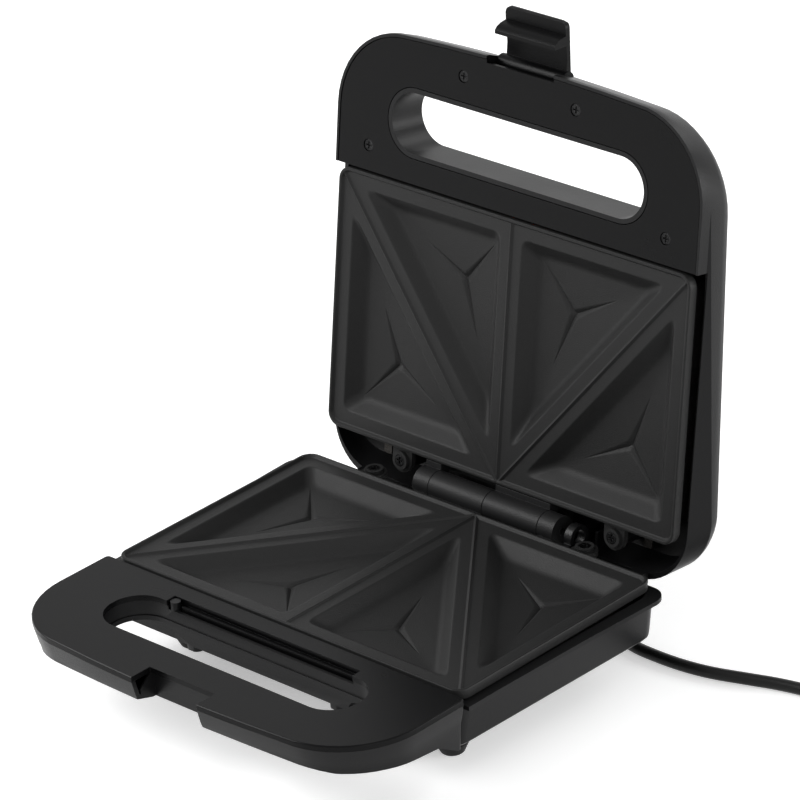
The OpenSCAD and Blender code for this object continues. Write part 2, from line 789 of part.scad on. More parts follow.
module base_housing() {
    w = base_wall;
    color("dimgray") place() difference() {
        union() {
            difference() {
                union() {
                    tub(0, -tub_depth, flange_z - flange_t + 1);
                    grip_block(0, 0);
                    translate([0, 0, flange_z - flange_t])
                        linear_extrude(height = flange_t)
                        polygon(flange_outline());
                }
                // inside of the tub
                tub(w, tub_floor, 1);
                // inside of the handle block
                intersection() {
                    grip_block(w, w);
                    translate([-200, -200, -60])
                        cube([400, 200 - w - 1, 100]);
                }
                // hinge recess in the flange
                translate([-barrel_x - 3, tub_y, flange_z - flange_t - 1])
                    cube([2 * barrel_x + 6, 10, 10]);
                // opening over the bottom cover
                translate([-belly_x + 20, belly_front + 7, -tub_depth - 1])
                    cube([2 * belly_x - 40, belly_rear - belly_front - 14, 10]);
            }
            // walls of the hand slot and of the rail channel
            intersection() {
                grip_block(0, 0);
                union() {
                    stadium(slot_x, -slot_near, slot_w, -tub_depth, cover_z, w);
                    translate([-rail_x - w, -slot_near - 1, rail_floor - w])
                        cube([2 * rail_x + 2 * w, rail_w + w + 1, w - rail_floor + cover_z]);
                    translate([-notch_x - w, hook_pocket_y - eps, -40])
                        cube([2 * notch_x + 2 * w, w + eps, 40 + cover_z]);
                    for (s = screw_spots()) {
                        translate([s[0], s[1], -40])
                            cylinder(r = post_r, h = 40 + cover_z);
                    }
                }
            }
            // sloped ribs beside the latch notch
            both_sides()
                intersection() {
                    grip_block(0, 0);
                    translate([notch_x, 0, 0])
                        rotate([90, 0, 90])
                        linear_extrude(height = 1)
                        polygon([[hook_pocket_y + 1, cover_z], [notch_y, cover_z],
                            [notch_y - 6.8, -9.2], [notch_y - 6.8, -40],
                            [hook_pocket_y + 1, -40]]);
                }
            intersection() {
                channel_boss();
                translate([-100, -20, -8])
                    cube([200, 20, 20]);
            }
            // bosses for the bottom screws
            for (p = belly_screws()) {
                translate([p[0], p[1], -tub_depth])
                    cylinder(r = post_r, h = base_wall + 2);
            }
            // lugs under the slot wall
            for (x = [-44, 44]) {
                translate([x, -slot_near + lug_r - 0.4, -tub_depth + 5.5])
                    cylinder(r = lug_r, h = 4);
            }
            // posts for the plate ears
            for (x = [-ear_left, ear_right]) {
                translate([x, plate_d + ear_reach, -plate_h - 16])
                    cylinder(r = post_r, h = 16);
                translate([x - post_r, tub_y - 3, -plate_h - 16])
                    cube([2 * post_r, plate_d + ear_reach - tub_y + 3, 16]);
            }
            // opening stops for the lid
            for (sx = [-1, 1]) {
                translate([sx * 84 - 4, tub_y - 3, -15])
                    cube([8, stop_y() - tub_y + 3, 5.6]);
            }
            // saddle under the wire bush
            translate([bush_x, tub_y - 2, -14])
                cube([bush_w, 8, 8]);
            // ledge that carries the plate tongues
            translate([-60, -3.4, tub_floor - 1])
                cube([120, 2.4, -plate_h - tub_floor + 1]);
        }
        stadium(slot_x, -slot_near, slot_w, -60, 5);
        // step in the slot wall
        stadium(slot_x, -slot_near, slot_w, -10.9, 5, 0.6);
        // rail channel, open towards the slot at its top
        difference() {
            translate([-rail_x, -slot_near - 2, -5.4])
                cube([2 * rail_x, rail_w + 2, 20]);
            channel_boss();
        }
        difference() {
            translate([-rail_x, -slot_near + w, rail_floor])
                cube([2 * rail_x, rail_w - w, 20]);
            channel_boss();
            for (x = [-rail_x + 16, 0, rail_x - 16]) {
                difference() {
                    translate([x - 2, -slot_near, rail_floor - 1])
                        cube([4, rail_w + 1, 3.4]);
                    translate([x - 3, rail_y - slip, rail_floor])
                        cube([6, rail_t + 2 * slip, 10]);
                }
            }
        }
        // latch notch
        translate([-notch_x, -grip_reach - 2, -60])
            cube([2 * notch_x, grip_reach + hook_pocket_y + 2, 80]);
        // slots for the plate tongues
        for (sx = [-1, 1]) {
            translate([sx * tongue_x - tongue_w / 2 - 0.3, -tongue_l - 0.3, -plate_h])
                cube([tongue_w + 0.6, 10, 10]);
        }
        // bores
        for (s = screw_spots()) {
            translate([s[0], s[1], -60])
                cylinder(r = screw_r + screw_clear, h = 70);
            translate([s[0], s[1], -60])
                cylinder(r = screw_head_r + screw_clear, h = 60 + cover_z - 8);
        }
        for (x = [-ear_left, ear_right]) {
            translate([x, plate_d + ear_reach, -plate_h - 14])
                cylinder(r = screw_r, h = 16);
        }
        for (p = belly_screws()) {
            translate([p[0], p[1], -tub_depth - 1])
                cylinder(r = screw_r, h = base_wall + 4);
        }
        for (x = [-28, 38]) {
            translate([x, tub_y + 1, -16])
                rotate([90, 0, 0])
                cylinder(r = screw_r, h = 12);
        }
    }
}

// Face of the opening stop: one stop gap in front of the opened lid edge.
function stop_y() = open_y(lid_rear, rim_gap + lid_step) - stop_gap;

module base_handle_cover() {
    color("dimgray") place() difference() {
        loft([
            lift(grip_outline(0), cover_z),
            lift(grip_outline(0), -cover_drop - 0.5),
            lift(grip_outline(0.5), -cover_drop),
        ]);
        stadium(slot_x, -slot_near, slot_w, -60, 5);
        translate([-rail_x, -slot_near - 2, -20])
            cube([2 * rail_x, rail_w + 2, 30]);
        translate([-notch_x, -grip_reach - 2, -60])
            cube([2 * notch_x, grip_reach + notch_y + 2, 80]);
        for (s = screw_spots()) {
            translate([s[0], s[1], cover_z - 1])
                cylinder(r = screw_r, h = cover_t - 0.2);
        }
    }
}

module cover_screws() {
    color("silver") place() {
        for (s = screw_spots()) {
            translate([s[0], s[1], cover_z - 8 - screw_head_h])
                rotate([180, 0, 0])
                screw(screw_head_h + 8 + 1.4);
        }
    }
}

module slot_rail() {
    color("gray") place() difference() {
        translate([-rail_x + 6, rail_y, rail_floor])
            cube([2 * rail_x - 7, rail_t, -3.4 - rail_floor]);
        for (x = [-rail_x + 12, rail_x - 12]) {
            translate([x, 0, -7])
                rotate([90, 0, 0])
                cylinder(r = 0.8, h = 30);
        }
    }
}

function belly_screws() = [
    [-belly_x + 12, belly_front + 26], [belly_x - 12, belly_front + 26],
    [-belly_x + 12, belly_rear - 30], [belly_x - 12, belly_rear - 30]];

function feet_spots() = [
    [-front_foot_x, belly_front + 8.5], [front_foot_x, belly_front + 8.5],
    [-rear_foot_x, belly_rear - 11], [rear_foot_x, belly_rear - 11]];

module belly(inset, z0, z1) {
    x = belly_x - inset;
    y0 = belly_front + inset;
    y1 = belly_rear - inset;
    loft([
        lift(box_outline(-x + 1, x - 1, y0 + 1, y1 - 1, 9), z0),
        lift(box_outline(-x + 0.3, x - 0.3, y0 + 0.3, y1 - 0.3, 9.6), z0 + 0.8),
        lift(box_outline(-x, x, y0, y1, 10), z0 + 2.5),
        lift(box_outline(-x, x, y0, y1, 10), z1),
    ]);
}

module bottom_cover() {
    w = 2;
    color("dimgray") place() difference() {
        union() {
            difference() {
                belly(0, belly_z, -tub_depth);
                belly(w, belly_z + w, -tub_depth + 1);
            }
            intersection() {
                belly(0, belly_z, -tub_depth);
                union() {
                    for (p = belly_screws()) {
                        translate([p[0], p[1], belly_z])
                            cylinder(r = 5.5, h = -tub_depth - belly_z);
                        translate([p[0] > 0 ? p[0] : p[0] - 20, p[1] - 5.5, belly_z])
                            cube([20, 11, -tub_depth - belly_z]);
                    }
                }
            }
            // seat of the terminal block
            translate([cord_x - 14, belly_rear - 45, belly_z + 1])
                cube([28, 16, 2.4]);
        }
        for (p = belly_screws()) {
            translate([p[0], p[1], belly_z - 1])
                cylinder(r = screw_r + screw_clear, h = 30);
            translate([p[0], p[1], belly_z - 1])
                cylinder(r = screw_head_r + screw_clear, h = 1 + 4);
        }
        // cooling slots
        for (i = [-3:3]) {
            translate([i * 12 - 2, 45, belly_z - 1])
                cube([4, 22, 6]);
        }
        translate([cord_x, belly_rear + 1, exit_z])
            rotate([90, 0, 0])
            cylinder(r = 4.5, h = 6);
    }
}

module bottom_screws() {
    color("silver") place() {
        for (p = belly_screws()) {
            translate([p[0], p[1], belly_z + 4 - screw_head_h])
                rotate([180, 0, 0])
                screw(tub_floor + 4 - belly_z - 4 + screw_head_h);
        }
    }
}

module feet() {
    color("black") place() {
        for (p = feet_spots()) {
            translate([p[0], p[1], -rim_height])
                rotate_extrude()
                polygon([[0, 0], [foot_d / 2 - 0.8, 0], [foot_d / 2, 0.8],
                    [foot_top_d / 2, foot_h], [0, foot_h]]);
        }
    }
}

module lower_plate() {
    color("darkslategray") place() plate();
}

module lower_plate_screws() {
    color("silver") place() ear_screws();
}

module lower_rod() {
    color("gray") place() heating_rod(plate_d - 18);
}

module lower_reflector() {
    color("silver") place() reflector();
}

module thermostat() {
    z1 = reflector_z - reflector_t;
    color("white") place() {
        translate([0, plate_d / 2, z1 - thermostat_h])
            cylinder(r = thermostat_d / 2, h = thermostat_h);
        for (sx = [-1, 1]) {
            translate([sx * 9 - 2.5, plate_d / 2 - 3, z1 - thermostat_h])
                cube([5, 6, 0.8]);
        }
    }
}

module thermal_fuse() {
    color("white") place() {
        translate([0, plate_d / 2 + 22, reflector_z - reflector_t - 2.1])
            x_rod(2, 22, 40);
        translate([0, plate_d / 2 + 22, reflector_z - reflector_t - 2.1])
            x_rod(0.6, 16, 46);
    }
}

module terminal_block() {
    z0 = belly_z + 3.4;
    color("ivory") place() difference() {
        translate([cord_x - 12, belly_rear - 43, z0])
            cube([24, 12, 8]);
        for (i = [-1:1]) {
            translate([cord_x + i * 7.6, belly_rear - 37, z0 + 4])
                cylinder(r = 1.6, h = 5);
            translate([cord_x + i * 7.6, belly_rear - 20, z0 + 4])
                rotate([90, 0, 0])
                cylinder(r = 1.4, h = 30);
        }
    }
}

// ---------- hinge ----------

module knuckle(x0, x1) {
    translate([0, pin_y, pin_z])
        x_rod(knuckle_r, x0, x1);
}

module base_hinge_leaf() {
    g = knuckle_gap / 2;
    zb = pin_z - knuckle_r;
    color("dimgray") place() difference() {
        union() {
            for (k = [[-knuckle_in + g, -g], [knuckle_in + g, barrel_x]]) {
                knuckle(k[0], k[1]);
                translate([k[0], tub_y, zb])
                    cube([k[1] - k[0], pin_y - tub_y, knuckle_r - 1.5]);
                translate([k[0], tub_y, zb - 6])
                    cube([k[1] - k[0], 3, 7]);
            }
            translate([-knuckle_in + g, tub_y, -22])
                cube([barrel_x + knuckle_in - g, 3, 22 + zb - 1.4]);
        }
        translate([0, pin_y, pin_z])
            x_rod(pin_d / 2 + pin_fit, -60, 60);
        for (x = [-28, 38]) {
            translate([x, tub_y + 4, -16])
                rotate([90, 0, 0])
                cylinder(r = screw_r + screw_clear, h = 8);
        }
    }
}

module hinge_pin() {
    color("silver") place()
        translate([0, pin_y, pin_z])
        x_rod(pin_d / 2, -barrel_x, barrel_x);
}

module wire_bush() {
    color("black") place() difference() {
        union() {
            translate([0, pin_y, pin_z])
                x_rod(bush_r, bush_x, bush_x + bush_w);
            translate([bush_x, tub_y + 0.2, flange_z])
                cube([bush_w, pin_y - tub_y - 3, 3.3]);
        }
        translate([0, pin_y, pin_z])
            x_rod(bush_r - 2.4, bush_x - 1, bush_x + bush_w + 1);
    }
}

module strain_relief() {
    color("black") place() difference() {
        union() {
            translate([cord_x, belly_rear - 7, exit_z])
                rotate([-90, 0, 0])
                cylinder(r = 4.4, h = 7 + eps);
            translate([cord_x, belly_rear - 7, exit_z])
                rotate([-90, 0, 0])
                cylinder(r = relief_r, h = 2);
            translate([cord_x, belly_rear, exit_z])
                rotate([-90, 0, 0])
                cylinder(r1 = relief_r, r2 = cord_d / 2 + 0.8, h = relief_l);
        }
        translate([cord_x, belly_rear - 8, exit_z])
            rotate([-90, 0, 0])
            cylinder(r = cord_d / 2, h = relief_l + 9);
    }
}

module mains_cord() {
    color("black") place() tube(cord_route, cord_d);
}

module cord_coil() {
    color("black") place()
        translate([coil_at[0], coil_at[1], -rim_height])
        rotate_extrude($fn = 72)
        translate([coil_d / 2 - cord_d / 2, 0])
        square([cord_d, coil_turns_h]);
}

module plug_lead() {
    color("black") place() tube(tail_route, cord_d);
}

module plug_body() {
    r = plug_d / 2;
    color("black") place()
        translate(plug_at)
        rotate([-90, 0, 0])
        rotate_extrude()
        polygon([[0, 0], [cord_d / 2 + 0.8, 0], [cord_d / 2 + 1.4, 12], [r - 3, 20],
            [r, 24], [r, plug_l - 2], [r - 1.5, plug_l], [0, plug_l]]);
}

module plug_pins() {
    color("silver") place() {
        for (sx = [-1, 1]) {
            translate([plug_at[0] + sx * plug_pitch / 2, plug_at[1] + plug_l, plug_at[2]])
                rotate([-90, 0, 0])
                rotate_extrude()
                polygon([[0, 0], [plug_pin_d / 2, 0], [plug_pin_d / 2, 18],
                    [plug_pin_d / 2 - 1.2, 19], [0, 19]]);
        }
    }
}

// ---------- lid, drawn shut ----------

function lid_outline(i, inset) =
    let (r = lid_rings[i],
         d = r[1] + inset,
         hx = lid_x - d,
         rx = lid_x + r[2] - d,
         ry = plate_d + r[3] - d,
         rr = max(6, 27.4 - inset))
    bowed(hx, lid_front + d + r[4], 1.9, grip_corner - inset, rx, ry, rr);

// Ring of the lid; the back falls towards the handle in front of the plates.
function lid_ring(i, inset, z) =
    [for (p = lid_outline(i, inset))
        [p[0], p[1], z - lid_fall * lid_rings[i][0] / lid_depth
            * max(0, min(1, (10 - p[1]) / 81))]];

module lid_body(inset, z0, back) {
    n = len(lid_rings);
    loft([for (i = [0:n - 1])
        lid_ring(i, inset, i == 0 ? rim_gap + z0 : rim_gap + lid_rings[i][0] - back)]);
}

function panel_screws() = [
    [-panel_screw_x1, lid_front + panel_screw_in],
    [panel_screw_x1, lid_front + panel_screw_in],
    [-panel_screw_x2, -panel_screw_y], [panel_screw_x2, -panel_screw_y]];

module panel_outline_solid(inset, z0, z1) {
    o = bowed(lid_x - inset, lid_front + inset, 1.9, grip_corner - inset,
        lid_x - inset, 60, 10);
    intersection() {
        loft([lift(o, z0), lift(o, z1)]);
        translate([-200, -200, z0])
            cube([400, 200 - 1.2, z1 - z0]);
    }
}

module lid_shell() {
    w = lid_wall;
    back_in = rim_gap + lid_depth - w;
    color("dimgray") on_lid() difference() {
        union() {
            difference() {
                lid_body(0, 0.5, 0);
                lid_body(w, -5, w);
            }
            // wall of the hand slot and bosses, from the back to the panel
            intersection() {
                lid_body(0, 0.5, 0);
                union() {
                    stadium(slot_x, -slot_near, lid_slot_w, panel_z, 30, w);
                    for (p = panel_screws()) {
                        translate([p[0], p[1], panel_z + panel_t])
                            cylinder(r = post_r, h = 30);
                    }
                    // cheeks and back of the latch pocket
                    for (sx = [-1, 1]) {
                        translate([sx * (notch_x + w / 2) - w / 2, lid_front - 1,
                            panel_z + panel_t])
                            cube([w, latch_open_y - lid_front + w + 1, 30]);
                    }
                    translate([-notch_x - w, latch_open_y, panel_z + panel_t])
                        cube([2 * notch_x + 2 * w, w, 30]);
                    translate([-notch_x - w, lid_front - 1, pocket_top])
                        cube([2 * notch_x + 2 * w, latch_open_y - lid_front + w + 1, 30]);
                    // posts for the plate ears
                    for (x = [-ear_right, ear_left]) {
                        translate([x, plate_d + ear_reach, rim_gap + plate_h])
                            cylinder(r = post_r, h = 30);
                    }
                    // ribs beside the wire bush
                    for (x = [47, 55.6]) {
                        translate([x - 0.8, plate_d + 9, 8.4])
                            cube([1.6, 14, 30]);
                    }
                    // pads under the hinge leaf
                    for (x = [-38, 14]) {
                        translate([x - 5, pin_y - 4, back_in - 3])
                            cube([10, 12, 30]);
                    }
                    // sleeves of the lamps
                    for (sx = [-1, 1]) {
                        translate([sx * lamp_x, -slot_near / 2, back_in - 3])
                            cylinder(r = lens_d / 2 + 1.2, h = 30);
                    }
                }
            }
        }
        // edge set back beside the plate
        translate([-200, -1.2, -10])
            cube([400, 300, 10 + rim_gap + lid_step]);
        // rebate of the panel, round the rim of the hand slot
        difference() {
            panel_outline_solid(panel_border, -10, panel_z + panel_t);
            stadium(slot_x, -slot_near, lid_slot_w, -20, 60, w);
        }
        stadium(slot_x, -slot_near, lid_slot_w, -10, 60);
        // latch pocket and the way out for the latch
        translate([-notch_x, lid_front - 3, -10])
            cube([2 * notch_x, latch_open_y - lid_front + 3, 10 + pocket_top]);
        translate([0, latch_y, latch_z])
            x_rod(latch_pin_d / 2, -notch_x - w - 1, notch_x + w + 1);
        for (p = panel_screws()) {
            translate([p[0], p[1], -5])
                cylinder(r = screw_r, h = 5 + panel_z + panel_t + 10);
        }
        for (x = [-ear_right, ear_left]) {
            translate([x, plate_d + ear_reach, 0])
                cylinder(r = screw_r, h = rim_gap + plate_h + 12);
        }
        for (sx = [-1, 1]) {
            translate([sx * lamp_x, -slot_near / 2, 10])
                cylinder(r = lens_d / 2, h = 30);
        }
    }
}

module lid_handle_panel() {
    color("dimgray") on_lid() difference() {
        panel_outline_solid(panel_border + panel_gap, panel_z, panel_z + panel_t);
        stadium(slot_x, -slot_near, lid_slot_w, -10, 60, lid_wall + panel_gap);
        translate([-notch_x, lid_front - 3, -10])
            cube([2 * notch_x, panel_notch_y - lid_front + 3, 40]);
        for (p = panel_screws()) {
            translate([p[0], p[1], -5])
                cylinder(r = screw_r + screw_clear, h = 30);
            translate([p[0], p[1], -5])
                cylinder(r = screw_head_r + screw_clear, h = 5 + panel_seat);
        }
    }
}

module lid_panel_screws() {
    color("silver") on_lid() {
        for (p = panel_screws()) {
            translate([p[0], p[1], panel_seat - panel_head_h])
                rotate([180, 0, 0])
                screw_flat(10);
        }
    }
}

// Panel screw with a low head, top of the head at the origin.
module screw_flat(l) {
    difference() {
        union() {
            translate([0, 0, -panel_head_h])
                cylinder(r = screw_head_r, h = panel_head_h);
            translate([0, 0, -l])
                cylinder(r = screw_r, h = l);
        }
        for (a = [0, 90]) {
            rotate([0, 0, a])
                translate([-1.6, -0.35, -0.6])
                cube([3.2, 0.7, 2]);
        }
    }
}

module upper_plate() {
    color("darkslategray") on_lid() turned() plate();
}

module upper_plate_screws() {
    color("silver") on_lid() turned() ear_screws();
}

module upper_rod() {
    color("gray") on_lid() turned() heating_rod(plate_d);
}

module upper_reflector() {
    color("silver") on_lid() turned() reflector();
}

module lid_hinge_leaf() {
    g = knuckle_gap / 2;
    back_in = rim_gap + lid_depth - lid_wall;
    zt = pin_z + knuckle_r;
    color("dimgray") on_lid() difference() {
        union() {
            for (k = [[-barrel_x, -knuckle_in - g], [g, knuckle_in - g]]) {
                knuckle(k[0], k[1]);
                translate([k[0], plate_d + 0.4, rim_gap + 0.3])
                    cube([k[1] - k[0], pin_behind - 0.4, zt - rim_gap - 0.3]);
            }
            translate([-barrel_x, plate_d + 1.4, zt - 1 + 1.6])
                cube([barrel_x + knuckle_in - g, 3, back_in - 3 - zt - 0.6]);
            for (k = [[-barrel_x, -knuckle_in - g], [g, knuckle_in - g]]) {
                translate([k[0], plate_d + 1.4, zt - 3])
                    cube([k[1] - k[0], 3, 6]);
            }
            translate([-barrel_x, plate_d + 1.4, back_in - 5])
                cube([barrel_x + knuckle_in - g, 12.5, 2]);
        }
        translate([0, pin_y, pin_z])
            x_rod(pin_d / 2 + pin_fit, -60, 60);
    }
}

module lamp_lenses() {
    top = rim_gap + lid_depth + 1.1;
    color("red") on_lid() {
        for (sx = [-1, 1]) {
            translate([sx * lamp_x, -slot_near / 2, top - 4])
                cylinder(r = lens_d / 2 - slip, h = 3.4);
            translate([sx * lamp_x, -slot_near / 2, top - 0.7])
                cylinder(r1 = lens_d / 2 - slip, r2 = lens_d / 2 - 1.2, h = 0.7);
        }
    }
}

module neon_lamps() {
    top = rim_gap + lid_depth + 1.1;
    color("orange") on_lid() {
        for (sx = [-1, 1]) {
            translate([sx * lamp_x, -slot_near / 2, top - 4 - 8])
                cylinder(r = 3, h = 8);
        }
    }
}

module latch_pin() {
    color("silver") on_lid()
        translate([0, latch_y, latch_z])
        x_rod(latch_pin_d / 2, -notch_x - lid_wall, notch_x + lid_wall);
}

// Latch standing out in front of the lid, leaning a little towards the plates.
module latch() {
    tip = -latch_reach;
    top = latch_rise + latch_t;
    color("black") on_latch() rotate([latch_lean, 0, 0]) difference() {
        union() {
            x_rod(hub_r, -notch_x + 0.3, notch_x - 0.3);
            intersection() {
                linear_extrude(height = 40, center = true)
                    polygon(box_outline(-latch_x, latch_x, tip, 4, 3.5));
                // side profile with the hook
                translate([-latch_x - 1, 0, 0])
                    rotate([90, 0, 90])
                    linear_extrude(height = 2 * latch_x + 2)
                    polygon([
                        [0, top],
                        [tip + 1.2, top],
                        [tip, top - 1.2],
                        [tip, latch_rise + 0.8],
                        [tip + 0.8, latch_rise],
                        [-hook_at - hook_t, latch_rise],
                        [-hook_at - hook_t * 0.9, latch_rise - hook_h * 0.45],
                        [-hook_at - hook_t * 0.66, latch_rise - hook_h * 0.82],
                        [-hook_at - hook_t * 0.35, latch_rise - hook_h],
                        [-hook_at, latch_rise - hook_h],
                        [-hook_at, latch_rise + 0.3],
                        [-hook_at * 0.6, latch_rise + 0.6],
                        [-hub_r, latch_rise],
                        [0, 0],
                    ]);
            }
        }
        x_rod(latch_pin_d / 2 + pin_fit, -notch_x - 1, notch_x + 1);
    }
}

base_housing();
base_handle_cover();
cover_screws();
slot_rail();
bottom_cover();
bottom_screws();
feet();
lower_plate();
lower_plate_screws();
lower_rod();
lower_reflector();
thermostat();
thermal_fuse();
terminal_block();
base_hinge_leaf();
hinge_pin();
wire_bush();
strain_relief();
mains_cord();
cord_coil();
plug_lead();
plug_body();
plug_pins();
lid_shell();
lid_handle_panel();
lid_panel_screws();
upper_plate();
upper_plate_screws();
upper_rod();
upper_reflector();
lid_hinge_leaf();
lamp_lenses();
neon_lamps();
latch_pin();
latch();
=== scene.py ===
"""Sandwich toaster with its lid open: the looks of every piece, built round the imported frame."""
import logging
import math
from dataclasses import dataclass
from enum import Enum

import bmesh
import bpy
import numpy as np
from mathutils import Matrix, Vector


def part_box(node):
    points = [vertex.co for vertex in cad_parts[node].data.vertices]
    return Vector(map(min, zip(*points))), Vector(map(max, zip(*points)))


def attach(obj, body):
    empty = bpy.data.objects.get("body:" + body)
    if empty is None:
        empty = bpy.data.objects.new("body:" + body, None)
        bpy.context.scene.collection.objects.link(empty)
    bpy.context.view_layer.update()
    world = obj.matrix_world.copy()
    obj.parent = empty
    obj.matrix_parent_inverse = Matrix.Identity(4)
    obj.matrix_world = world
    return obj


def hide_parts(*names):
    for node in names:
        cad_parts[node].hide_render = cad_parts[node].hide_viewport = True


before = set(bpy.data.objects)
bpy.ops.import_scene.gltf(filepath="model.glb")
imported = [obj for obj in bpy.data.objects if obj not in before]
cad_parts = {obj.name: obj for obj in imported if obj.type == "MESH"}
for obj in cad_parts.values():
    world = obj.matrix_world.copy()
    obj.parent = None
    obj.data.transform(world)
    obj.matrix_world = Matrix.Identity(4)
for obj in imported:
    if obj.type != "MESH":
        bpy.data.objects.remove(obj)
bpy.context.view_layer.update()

logging.basicConfig(level=logging.INFO, format="%(message)s")
log = logging.getLogger("toaster")
MM = 0.001
MERGE_M = 2e-6  # points nearer than this are one point
PLAN_KEYS_PER_MM = 2000
FLAT_TURN = math.radians(0.8)  # faces that turn less are one face
SHARP_TURN_DEGREES = 28.0
Colour = tuple[float, float, float]
Point = tuple[float, float, float]
Profile = tuple[tuple[float, float], ...]
Skin = tuple[np.ndarray, list[np.ndarray]]


class Body(Enum):
    """Moving bodies of the frame."""

    BASE = "base"
    LID = "lid"
    LATCH = "latch"


# ---------- places and meshes ----------


@dataclass(frozen=True)
class Placing:
    """Turns millimetres, measured from the middle of the lower rim's front edge, into the frame.

    Lid pieces are given as if the lid were shut, and are turned open about the hinge pin.
    """

    pin_y: float = 135.7
    pin_z: float = -0.6
    rim_height: float = 46.0
    opened: float = 100.0
    rim_gap: float = 0.8

    def base(self, points: np.ndarray) -> np.ndarray:
        """Moves points of the base into the frame, by where the hinge pin lies in both.

        Args:
            points: Points in millimetres, with x, y and z along the last axis.

        Returns:
            The points in metres.
        """
        low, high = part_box("hinge_pin")
        back = self.pin_y - (low.y + high.y) / 2 / MM
        return (np.asarray(points, float) + [0.0, -back, self.rim_height]) * MM

    def lid(self, points: np.ndarray) -> np.ndarray:
        """Opens points of the shut lid: a turn about X through the pin, then the base's move.

        Args:
            points: Points in millimetres, as if the lid were shut.

        Returns:
            The points in metres, in the frame.
        """
        p = np.asarray(points, float)
        turn = math.radians(-self.opened)
        y, z = p[..., 1] - self.pin_y, p[..., 2] - self.pin_z
        opened = np.stack([
            p[..., 0],
            self.pin_y + y * math.cos(turn) - z * math.sin(turn),
            self.pin_z + y * math.sin(turn) + z * math.cos(turn)], axis=-1)
        return self.base(opened)

    def turned(self, points: np.ndarray) -> np.ndarray:
        """Turns a lower casting over above the rim gap, so that it sits in the shut lid."""
        return np.asarray(points, float) * [-1.0, 1.0, -1.0] + [0.0, 0.0, self.rim_gap]


PLACE = Placing()


def mesh_object(name: str, points: np.ndarray, faces: list[np.ndarray]) -> bpy.types.Object:
    """Makes a smooth mesh object from whole arrays.

    Args:
        name: Name of the piece.
        points: Corners in metres, one row each.
        faces: Arrays of corner numbers, one array for each number of sides.

    Returns:
        The object, at the origin, with its place in its mesh.
    """
    mesh = bpy.data.meshes.new(name)
    points = np.asarray(points, np.float32).reshape(-1, 3)
    mesh.vertices.add(len(points))
    mesh.vertices.foreach_set("co", points.ravel())
    loops = np.concatenate([f.ravel() for f in faces]).astype(np.int32)
    sides = np.concatenate([np.full(len(f), f.shape[1]) for f in faces])
    starts = np.concatenate([[0], np.cumsum(sides)[:-1]]).astype(np.int32)
    mesh.loops.add(len(loops))
    mesh.loops.foreach_set("vertex_index", loops)
    mesh.polygons.add(len(sides))
    mesh.polygons.foreach_set("loop_start", starts)
    mesh.polygons.foreach_set("use_smooth", np.ones(len(sides), bool))
    mesh.update(calc_edges=True)
    mesh.validate()
    piece = bpy.data.objects.new(name, mesh)
    bpy.context.scene.collection.objects.link(piece)
    return piece


def ring_faces(rings: int, points: int) -> list[np.ndarray]:
    """Faces of a closed skin over rings of equal length, with a flat cap at both ends.

    A quad joins point i and i + 1 of one ring to the same points of the next, round each ring.
    The rings run counter-clockwise seen from the last one.

    Args:
        rings: How many rings there are.
        points: How many points each ring has.

    Returns:
        The quads, the first ring's cap and the last ring's cap.
    """
    i = np.arange(points)
    j = (i + 1) % points
    k = np.arange(rings - 1)[:, None] * points
    quads = np.stack([k + i, k + j, k + points + j, k + points + i], axis=-1).reshape(-1, 4)
    top = (rings - 1) * points + i
    return [quads, i[None, ::-1], top[None, :]]


def lathe(profile: Profile, at: Point, steps: int) -> Skin:
    """A profile turned about an axis along Y: each pair becomes a circle of points.

    Args:
        profile: Radius and height pairs, in millimetres, with the height growing along Y.
        at: Where height nought lies.
        steps: Points round each circle.

    Returns:
        The points in millimetres and their faces.
    """
    r, h = np.array(profile, float).T
    turn = np.arange(steps) * 2 * math.pi / steps
    circles = np.stack([r[:, None] * np.sin(turn), np.repeat(h[:, None], steps, axis=1),
                        r[:, None] * np.cos(turn)], axis=-1)
    return circles.reshape(-1, 3) + np.array(at), ring_faces(len(r), steps)


def through(knots: np.ndarray, steps: int) -> np.ndarray:
    """A smooth line through knots.

    Each stretch is a cubic, whose slope at a knot is half of the way from the knot before to the
    knot after. One more knot is added straight on at both ends.

    Args:
        knots: The knots, one row each.
        steps: Points on each stretch.

    Returns:
        The points of the line, one row each.
    """
    p = np.vstack([2 * knots[0] - knots[1], knots, 2 * knots[-1] - knots[-2]])
    t = (np.arange(steps) / steps)[None, :, None]
    a, b, c, d = p[:-3, None], p[1:-2, None], p[2:-1, None], p[3:, None]
    line = 0.5 * (2 * b + (c - a) * t + (2 * a - 5 * b + 4 * c - d) * t ** 2
                  + (3 * b - a - 3 * c + d) * t ** 3)
    return np.vstack([line.reshape(-1, 3), knots[-1:]])


def tube(line: np.ndarray, radius: float, sides: int) -> Skin:
    """A round skin along a line: at each point a circle across the line's own direction.

    Args:
        line: Points of the middle line, one row each.
        radius: Radius of the circles, in the line's unit.
        sides: Points round each circle.

    Returns:
        The points and their faces.
    """
    ahead = np.gradient(line, axis=0)
    ahead /= np.linalg.norm(ahead, axis=1, keepdims=True)
    side = np.cross([0.0, 0.0, 1.0], ahead)
    side /= np.linalg.norm(side, axis=1, keepdims=True)
    over = np.cross(ahead, side)
    turn = np.arange(sides) * 2 * math.pi / sides
    around = (side[:, None] * np.cos(turn)[None, :, None]
              + over[:, None] * np.sin(turn)[None, :, None])
    points = line[:, None] + around * radius
    return points.reshape(-1, 3), ring_faces(len(line), sides)


def joined(parts: list[Skin]) -> Skin:
    """Several skins as one, each with its faces' numbers moved on past the skins before it.

    Args:
        parts: The skins.

    Returns:
        All the points and all the faces.
    """
    points, faces, first = [], [], 0
    for p, f in parts:
        points.append(p)
        faces += [x + first for x in f]
        first += len(p)
    return np.vstack(points), faces


